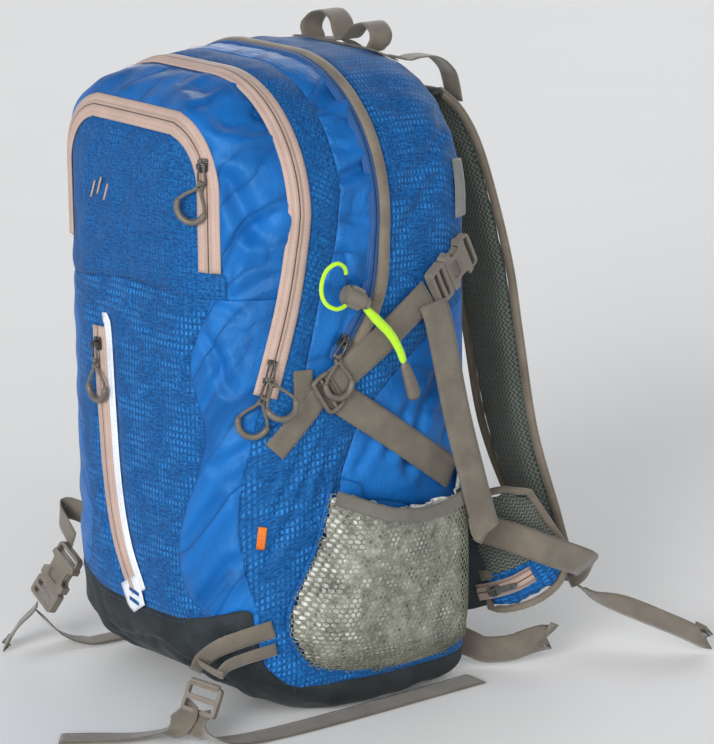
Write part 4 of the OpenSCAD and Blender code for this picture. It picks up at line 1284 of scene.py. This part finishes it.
def padded(name, v, f, looks, uv_of, slot_of, cap):
    """A pad blown up a little by simulation from a smaller shape. slot_of picks each face's look."""
    o = mesh_object(name, v, f, looks)
    modifier(o, "REMESH", mode="VOXEL", voxel_size=VOXEL * MM, use_smooth_shade=True)
    apply_modifiers(o)
    rest = vertices(o)
    m = modifier(o, "CLOTH")
    m.settings.quality, m.settings.mass = 4, 0.2
    settle_cloth(o, m, PAD_PRESSURE, PAD_FRAMES)
    shift = vertices(o) - rest
    shift -= shift.mean(0)
    far = np.linalg.norm(shift, axis=1)
    now = rest + shift * np.minimum(1, cap / np.maximum(far, 1e-6))[:, None]
    o.data.vertices.foreach_set("co", (now * MM).ravel())
    modifier(o, "SMOOTH", iterations=3, factor=0.5)
    modifier(o, "SUBSURF", levels=1, render_levels=1)
    apply_modifiers(o)
    mesh = o.data
    mesh.materials.clear()
    for k in looks:
        mesh.materials.append(k)
    set_uvs(mesh, uv_of(vertices(o)))
    centre = np.array([p.center for p in mesh.polygons], float) / MM
    face_n = np.array([p.normal for p in mesh.polygons], float)
    mesh.polygons.foreach_set("material_index", [int(k) for k in slot_of(centre, face_n)])
    mesh.polygons.foreach_set("use_smooth", [True] * len(mesh.polygons))
    return o


def along_path(frame_data):
    """A function that gives (across, along) for points near a lofted pad."""
    path, side = frame_data[:2]
    s = lengths(path)

    def uv(co):
        d = ((co[:, None, :] - path[None]) ** 2).sum(-1)
        i = d.argmin(1)
        rel = co - path[i]
        t = unit(np.gradient(path, axis=0))[i]
        return np.stack([(rel * side[i]).sum(1), s[i] + (rel * t).sum(1)], 1)
    return uv


def edge_binding(frame_data, grow, r, squash):
    """A rounded binding all round a pad's edge."""
    path, side, out, widths = frame_data
    right = path + side * (widths / 2 + grow)[:, None]
    left = path - side * (widths / 2 + grow)[:, None]
    loop = np.vstack([right, left[::-1]])
    return sweep(loop, np.vstack([out, out[::-1]]), circle(r, 10, squash), ring=True)


SHOULDER = [(46, 122, 474), (50, 136, 456), (57, 149, 418), (68, 165, 337), (76, 171, 271), (84, 181, 190),
            (94, 202, 118), (102, 217, 76)]
SHOULDER_W = [50, 56, 61, 63, 63, 61, 52, 36]
HIP = [(114, 122, 97), (126, 130, 101), (138, 142, 108), (146, 155, 117), (151, 168, 126)]
HIP_W = [96, 104, 106, 98, 70]
STRAP_ACROSS = (0.98, 0.12, 0.1)


def build_harness():
    """The shoulder pads and hip wings, with their bindings."""
    for tag, sign in SIDES:
        flip = np.array([sign, 1, 1])
        across = np.array(STRAP_ACROSS) * flip
        v, f, data = loft(np.array(SHOULDER) * flip, across, np.array(SHOULDER_W) - 4, 10)
        o = padded("shoulder_pad_" + tag + "_soft", v, f, [M["airmesh"], M["back_fabric"]], along_path(data),
                   lambda c, n: n[:, 1] > 0.25, 2.5)
        dress(o, "shoulder_" + tag, "air_mesh", "shoulder_pad_" + tag)
        edge = edge_binding(data, 0.6, 3.6, 1.0)
        solid("shoulder_binding_" + tag, edge, "binding", "shoulder_" + tag, "webbing")
        v, f, data = loft(np.array(HIP) * flip, (0, -0.05, 1), np.array(HIP_W) - 4, 8.5)
        uv = along_path(data)
        cut = lambda c, n, uv=uv: uv(c)[:, 0] < -16
        o = padded("hip_pad_" + tag, v, f, [M["airmesh"], M["ripstop"]], uv, cut, 2.0)
        dress(o, "hip_" + tag, "air_mesh", "hip_wing_" + tag)
        solid("hip_binding_" + tag, edge_binding(data, 0.4, 3.2, 1.0), "binding", "hip_" + tag, "webbing")
        path, side, out = data[:3]
        face = out * np.sign(out[0] @ (np.array([0.78, -0.62, 0]) * flip))
        divide = sweep(path - side * 16 + face * 4.6, face, tape_profile(9, 2.0))
        solid("hip_divide_" + tag, divide, "binding", "hip_" + tag, "webbing")


build_harness()
for name, x, z, w, h in (("back_pad_right_soft", 60, 290, 74, 250), ("back_pad_left_soft", -60, 290, 74, 250),
                         ("back_pad_low_soft", 0, 105, 200, 92)):
    lx = np.array([(x, BACK + 6.2, z - h / 2 + 3), (x, BACK + 6.2, z), (x, BACK + 6.2, z + h / 2 - 3)], float)
    v, f, data = loft(lx, (1, 0, 0), [w - 12, w - 3, w - 12], 8)
    o = padded(name, v, f, [M["airmesh"]], lambda co: co[:, (0, 2)], lambda c, n: np.zeros(len(c)), 3.0)
    dress(o, "pack", "air_mesh", "back_pads")
    solid(name.replace("soft", "welt"), edge_binding(data, 0.5, 2.0, 0.8), "back_fabric", "pack", "air_mesh")

outer = np.array([0, 6.5 + 1.9, 0.6])
web = ribbon(np.array(SHOULDER[1:7]) + outer, STRAP_ACROSS, NARROW)
both_sides("shoulder_web_right", web, body="shoulder_right", nodes=["shoulder_webbing_right"])
tail = ribbon([(108, 233, 50), (111, 241, 43), (124, 246, 37), (150, 258, 33), (190, 277, 22), (211, 289, 14),
               (213, 290, 15.5), (210, 288.5, 17), (203, 285, 19.5)],
              [(0.95, -0.3, 0.0), (0.9, -0.4, 0.2), (0.6, -0.5, 0.6)] + [(0.3, -0.35, 0.9)] * 6)
both_sides("shoulder_tail_right", tail, body="shoulder_right")
lifter = ribbon([(58, 84, float(top_z(84)) + 0.8), (58, 92, float(top_z(92)) + 1.6), (58, 104, 509),
                 (58, 122, 507), (57, 137, 496), (56, 143, 484), (56, 146.5, 468)], (1, 0, 0), NARROW)
both_sides("load_lifter_right", lifter, nodes=["harness_webbing"],
           blend=("shoulder_right", (58, 100, 509), (56, 143, 484)))
yoke, yoke_faces, _ = loft([(48, 98, 470), (47, 108, 478), (46, 118, 479), (46, 124, 472)],
                           (0.98, 0.05, 0.05), [56, 56, 54, 50], 7)
both_sides("yoke_right", (yoke, yoke_faces, yoke[:, (0, 2)]), "back_fabric", "pack", "air_mesh",
           blend=("shoulder_right", (50, 103, 480), (48, 122, 474)))
lower = ribbon([(136, 104, 132), (143, 112, 128), (162, 130, 120), (174, 154, 108), (172, 188, 92),
                (150, 210, 78), (120, 222, 64), (108, 225, 58)],
               [(0, 0.1, 1), (0, 0.1, 1), (0, 0.2, 1), (0.1, 0.2, 1), (0.4, 0.3, 0.9), (0.7, 0.2, 0.6),
                (0.9, -0.1, 0.2), (1, -0.1, 0)])
both_sides("lower_adjuster_right", lower, blend=("shoulder_right", (143, 112, 128), (112, 224, 62)))
belt = ribbon([(104, 108, 26), (112, 118, 20), (120, 126, 16), (132, 142, 17), (140, 158, 22), (145, 170, 24),
               (147, 172, 25), (145.5, 169, 26.5)], (0.1, -0.2, 1))
both_sides("belt_end_right", belt)
root, root_faces, _ = loft([(104, 101, 100), (110, 110, 99), (115, 119, 98), (120, 126, 99)],
                           (0, 0, 1), [104, 98, 92, 84], 6)
both_sides("hip_root_right", (root, root_faces, root[:, (1, 2)]), "boot", "pack", "air_mesh",
           blend=("hip_right", (109, 108, 99), (118, 123, 99)))
hip_out = unit((0.78, -0.62, 0))
low = [np.array(HIP[i]) + hip_out * 6.9 - [0, 0, d] for i, d in ((0, 30), (1, 30), (2, 31), (3, 32))]
hip_zip = sweep(curve(low, 2), hip_out, zip_profile(14) * [1, 0.6])
both_sides("hip_zip_tape_right", hip_zip, "zip_narrow", "hip_right", "zip_tape", ["hip_zip_right"])

# ---------- haul loop ----------
tip = Matrix.Rotation(math.radians(-20), 3, "X")
HAUL_Y = 78
haul_z = float(top_z(HAUL_Y))
hump = [(-45, 4), (-50, 12), (-43, 23), (-29, 26), (-15, 20), (-7, 11), (0, 5.4), (5, 8), (13, 18), (27, 22),
        (39, 16), (42, 9), (40, 4)]
haul = [np.array(tip @ Vector((x, 0, z))) + [0, HAUL_Y, haul_z + 1.2] for x, z in hump]
feet = [(x, HAUL_Y, haul_z + 0.4) for x in (-32, -40, 36, 28)]
loop = ribbon(feet[:2] + haul + feet[2:], (0, 1, 0), NARROW)
solid("haul_webbing", loop, "webbing", "pack", "webbing", "haul_loop",
      blend=("haul_loop", (0, HAUL_Y, 516.5), (0, HAUL_Y, 525)))
over = loop_path([[HAUL_Y, ABOVE], [HAUL_Y, 400]], 0.9)
over = over[(np.abs(over[:, 0]) < 58) & (over[:, 2] > 505)]
solid("haul_base", strip(over), "webbing", "pack", "webbing")

# ---------- pole loop ----------
lime = [tube([(152, -40, 366), (155, -44, 373), (155, -51, 377), (153, -59, 373), (151.5, -63, 364),
              (152, -64, 354), (154.5, -61, 346), (157, -54, 342), (157, -46, 343), (156, -38, 347)],
             (1, 0.1, 0), 1.7),
        tube([(157, -28, 341), (159, -13, 325), (160.5, -4, 315), (161, 4, 302), (160, 10, 289)],
             (1, 0, 0), 4.0, squash=0.8, scale=(0.62, 1.0, 0.95, 0.85, 0.75))]
solid("pole_cord", lime, "lime", "pack", "lime_cord", "pole_loop")
drop = tube([(160.3, 9, 291), (160.5, 13, 280), (161, 17, 268), (161, 20, 258)], (1, 0, 0.1), 6.0,
            step=1, n=20, squash=0.75, scale=(0.62, 0.8, 1.0, 1.0))
solid("pole_grip", drop, "plastic", "pack", "cord_grip")


# ---------- zip pulls ----------
def pull(at, direction, out, turn, lift, name):
    """A wire puller on the slider's bar, a doubled cord and a moulded grip round the cord's bight."""
    up, grip_at, grip_r = (0, 0, 1), 22, 12
    m = basis(at, direction, out) @ np.array(Matrix.Translation((0, 0, 4.6)))
    m = m @ np.array(Matrix.Rotation(math.radians(-lift), 4, "Y"))
    wire = tube([(-1.6, 1.5, 0), (-1.6, -1.5, 0), (4, -2.4, 0), (12, -3.0, 0), (15, -2, 0), (15, 2, 0),
                 (12, 3.0, 0), (4, 2.4, 0)], up, 0.85, step=0.8, loop=True)
    n = m @ np.array(Matrix.Translation((12, 0, 0))) @ np.array(Matrix.Rotation(math.radians(turn), 4, "Z"))
    solid(name + "_wire", placed(m, wire), "nickel", name, "zip_metal")
    legs = []
    for s in (-1, 1):
        leg = [(2.6, s * 0.4, 0.9), (0.4, s * 1.4, 0), (3, s * 1.8, -0.6), (8, s * 2.6, 0), (15, s * 8.2, 0),
               (21, s * 11.6, 0), (24, s * grip_r, 0)]
        legs.append(placed(n, tube(leg, up, 1.25, step=0.9)))
    for knot in ([(6.4, 3.4, 0.2), (6.0, 0, 1.6), (6.4, -3.4, 0.2)],
                 [(6.4, 3.4, -0.2), (7.0, 0, -1.5), (6.4, -3.4, -0.2)]):
        legs.append(placed(n, tube(knot, (1, 0, 0), 1.2, step=0.7)))
    solid(name + "_cord", legs, "cord", name, "cord_grip")
    arc = [(grip_at + grip_r * math.cos(a), grip_r * math.sin(a), 0)
           for a in np.linspace(math.pi / 2, -math.pi / 2, 40)]
    grip = [tube(arc, up, 2.55, straight=True, n=16)]
    for s in (-1, 1):
        collar = [(21.0, s * grip_r, 0), (24.0, s * (grip_r + 0.1), 0)]
        grip.append(tube(collar, up, 2.8, step=0.6, n=16))
    solid(name + "_grip", [placed(n, q) for q in grip], "plastic", name, "cord_grip", name)


SIDE_OUT = unit((48, -25, 0))
FRONT_DIR = unit((-9, -16.5, -69))
FRONT_AT = np.array([123.1, -96.4, 286])
pull((92.4, -130.2, 454.4), (0.05, 0.01, -1), (0.48, -0.85, 0.2), -28, 0, "upper_pull")
pull((-39, -143.9, 292), (0.06, 0, -1), (0, -1, 0), 0, 0, "lower_pull")
pull(FRONT_AT, FRONT_DIR, SIDE_OUT, -8, 0, "front_pull_low")
pull(FRONT_AT - FRONT_DIR * 15, FRONT_DIR, SIDE_OUT, 32, 28, "front_pull_high")
pull((141.8, -36.5, 311), (-0.8, -17, -22), (1, -0.14, 0), 37, 0, "main_pull")

# ---------- straps at the base ----------
base = [ribbon([(126, -96, 84), (113.5, -118, 77), (104, -134, 70.5), (99, -147, 62), (98, -153, 54)],
               (0.15, 0.1, 1), 15),
        ribbon([(129, -96, 68), (122, -118, 64), (118, -135, 60), (117, -143, 54)], (0.2, 0, 1), 11),
        ribbon([(97, -149, 62), (102, -149, 60), (116, -144, 55), (120, -141, 54)], (0.1, -0.5, 0.9), 9),
        ribbon([(103, -158, 30), (101, -164, 20), (97, -172, 12), (90, -180, 8), (74, -199, 3.5),
                (54, -222, 2), (38, -242, 1.5)],
               [(0.9, -0.3, 0), (0.9, 0.2, 0), (0.9, 0.4, 0), (0.8, -0.4, 0.2), (0.75, -0.6, 0.1),
                (0.74, -0.66, 0), (0.74, -0.66, 0)], NARROW),
        ribbon([(108, -158, 24), (114, -162, 14), (122, -157, 8), (130, -142, 3.2), (135, -110, 1.4),
                (138.5, -40, 1.4), (138.5, 100, 1.4)], (1, 0.2, 0)),
        ribbon([(-118, -96, 104), (-126, -96, 107), (-146, -91, 112), (-166, -93, 114), (-172, -99, 113),
                (-166, -105, 110), (-148, -110, 103), (-136, -112, 96)], (0.15, 0, 1), 20),
        ribbon([(-161, -132, 30), (-162, -121, 17), (-158, -112, 8), (-148, -98, 2.2), (-140, -70, 1.4),
                (-137.5, 90, 1.4)], (1, -0.2, 0), NARROW)]
solid("base_straps", base, "webbing", "pack", "webbing", "base_webbing")
left_tail = ribbon([(-157, -137, 40), (-159, -140, 35), (-168, -149, 22), (-175, -156, 6),
                    (-176.5, -157, 4.2), (-175, -158, 5.5), (-171, -154.5, 13)], (0.8, -0.6, 0), NARROW)
solid("base_tail_webbing", left_tail, "webbing", "base_buckle_male", "webbing", "base_tail_left")

# ---------- small things on the body ----------
for tag, sign in SIDES:
    path = side_path([(87, 438), (87, 392)], 1.2, side=sign)
    solid("tag_" + tag, strip(path, 17, 1.0), "tag", "pack", "webbing", "side_tags")
path = side_path([(-102, 168), (-104, 150)], 1.2)
solid("orange_tab", strip(path, 7, 1.6), "orange", "pack", "webbing")
marks = []
for x, z in ((-40, 418), (-31, 422), (-22, 418)):
    c = front_path([(x - 3.2, z - 7), (x + 3.2, z + 7)], 2.3)
    marks.append(sweep(c, normal(c), circle(1.0, 8, 0.6)))
solid("embroidered_bars", marks, "thread_tan", "pack", "reflective")


def topstitch():
    """Rows of stitches beside the seams, and where the side straps are sewn down."""
    rows = []
    for line in ([[-30.5, ABOVE], [-30.5, 430], [-37.5, 380], [-48, 356], [-60, 308]],
                 [[-85.5, ABOVE], [-85.5, 441], [-88, 392], [-96, 342], [-108, 290]]):
        rows.append(loop_path(line, 0.7))
    for line in ([(-38, 200), (-23, 239), (-5, 262), (26, 287), (60, 310), (92, 328)],
                 [(-112, 200), (-114.5, 166), (-109, 125), (-103, 100)]):
        for sign in (1, -1):
            rows.append(side_path([(a - 3, b + 3) for a, b in line], 0.6, side=sign))
    rows.append(front_path([(x, float(split_z(np.array(float(x)))) + 3) for x in range(-88, 92, 12)], 0.5))
    for sign in (1, -1):
        rows.append(front_path([(sign * (float(WAVE(z)) - 3), z) for z in range(104, 340, 10)], 0.5))
        rows.append(front_path([(sign * 110, z) for z in (345, 358, 371)], 0.8))
    rows.append(front_path([(x, float(boot_front(x)) - 3) for x in range(-96, 98, 8)], 0.2))
    solid("stitching_blue", stitches([(c, normal(c)) for c in rows]), "thread_blue", "pack", "ripstop")
    webs = []
    for line, off in (([(-96, 228), (-62, 266)], 3.1), ([(60, 192), (71, 184)], 3.4)):
        for sign in (1, -1):
            c = side_path(line, off, side=sign)
            n = normal(c)
            side = unit(np.cross(unit(np.gradient(c, axis=0)), n))
            webs += [(c + side * k, n) for k in (-9.5, 9.5)]
    solid("stitching_webbing", stitches(webs), "thread_taupe", "pack", "webbing")


topstitch()
CAD_LOOKS = {
    "plastic": ["female_buckles", "male_buckle_right", "male_buckle_left", "base_ladder_lock",
                "base_buckle_female", "base_buckle_male", "cord_lock_body", "cord_lock_button",
                "ladder_lock_right", "ladder_lock_left", "sternum_right", "sternum_left"],
    "nickel": ["upper_slider", "lower_slider", "front_slider_low", "front_slider_high", "main_slider",
               "hip_slider_right", "hip_slider_left"],
    "steel": ["cord_lock_spring"],
    "dark_plastic": ["frame_sheet"],
    "alloy": ["frame_stays"]}
BEVELS = {"plastic": 0.45, "nickel": 0.22}
for look, names in CAD_LOOKS.items():
    for name in names:
        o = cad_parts[name]
        o.data.materials.clear()
        o.data.materials.append(M[look])
        if look in BEVELS:
            modifier(o, "BEVEL", width=BEVELS[look] * MM, segments=2, limit_method="ANGLE",
                     angle_limit=math.radians(38))


# ---------- stage, light and camera ----------
def backdrop():
    """A world whose light falls off toward the top, seen as an even pale grey, and a pale floor."""
    world = bpy.data.worlds.new("studio")
    bpy.context.scene.world = world
    world.use_nodes = True
    nodes, link = world.node_tree.nodes, world.node_tree.links.new
    back, seen = nodes["Background"], nodes.new("ShaderNodeBackground")
    pick = nodes.new("ShaderNodeMixShader")
    back.inputs[0].default_value = (0.95, 0.97, 1.0, 1)
    seen.inputs[0].default_value = (0.70, 0.71, 0.72, 1)
    split, dim = nodes.new("ShaderNodeSeparateXYZ"), nodes.new("ShaderNodeMapRange")
    for key, value in (("From Min", 0.1), ("From Max", 0.9), ("To Min", 0.75), ("To Max", 0.12)):
        dim.inputs[key].default_value = value
    link(nodes.new("ShaderNodeLightPath").outputs["Is Camera Ray"], pick.inputs[0])
    link(nodes.new("ShaderNodeTexCoord").outputs["Generated"], split.inputs[0])
    link(split.outputs[2], dim.inputs[0])
    link(dim.outputs[0], back.inputs[1])
    link(back.outputs[0], pick.inputs[1])
    link(seen.outputs[0], pick.inputs[2])
    link(pick.outputs[0], nodes["World Output"].inputs[0])
    k = Look("floor", rough=0.9)
    k.finish(k.mix(k.noise(k.place(), 400, 2), (0.92, 0.92, 0.92), (0.96, 0.96, 0.96)))
    grid = [(x, y, 0) for y in (-6000, 0, 6000) for x in (-6000, 0, 6000)]
    mesh_object("floor", grid, [[0, 1, 4, 3], [1, 2, 5, 4], [3, 4, 7, 6], [4, 5, 8, 7]], k.m)


def add(name, data, place, rotation):
    """A light or camera, linked into the scene."""
    o = bpy.data.objects.new(name, data)
    bpy.context.scene.collection.objects.link(o)
    o.location, o.rotation_mode, o.rotation_quaternion = place, "QUATERNION", rotation
    return o


def lights():
    """Broad soft lights: the key from the front, a fill from the right and one from behind."""
    for name, place, spread, power in (("key", (1.1, -2.4, 1.0), 0.5, 2.3),
                                       ("fill", (1.9, -1.0, 1.2), 1.1, 1.1),
                                       ("back", (-1.6, 2.3, 1.3), 0.8, 1.1)):
        data = bpy.data.lights.new(name, "SUN")
        data.angle, data.energy = spread, power
        add(name, data, place, (Vector((0, 0, 0.28)) - Vector(place)).to_track_quat("-Z", "Y"))


TURN, RISE, ROLL = (math.radians(d) for d in (52.35, 14.63, -0.61))
AWAY, AIM, LENS = 2.3, (0.400, -0.222, 0.369), 163.4


def camera():
    """Looks at the pack from the front, the right and a little above."""
    toward = Vector((math.sin(TURN) * math.cos(RISE), -math.cos(TURN) * math.cos(RISE), math.sin(RISE)))
    roll = Matrix.Rotation(ROLL, 3, "Z").to_quaternion()
    data = bpy.data.cameras.new("camera")
    data.lens = LENS
    turned = (-toward).to_track_quat("-Z", "Y") @ roll
    bpy.context.scene.camera = add("camera", data, Vector(AIM) + toward * AWAY, turned)


backdrop()
lights()
bpy.context.scene.view_settings.view_transform = "Standard"
camera()
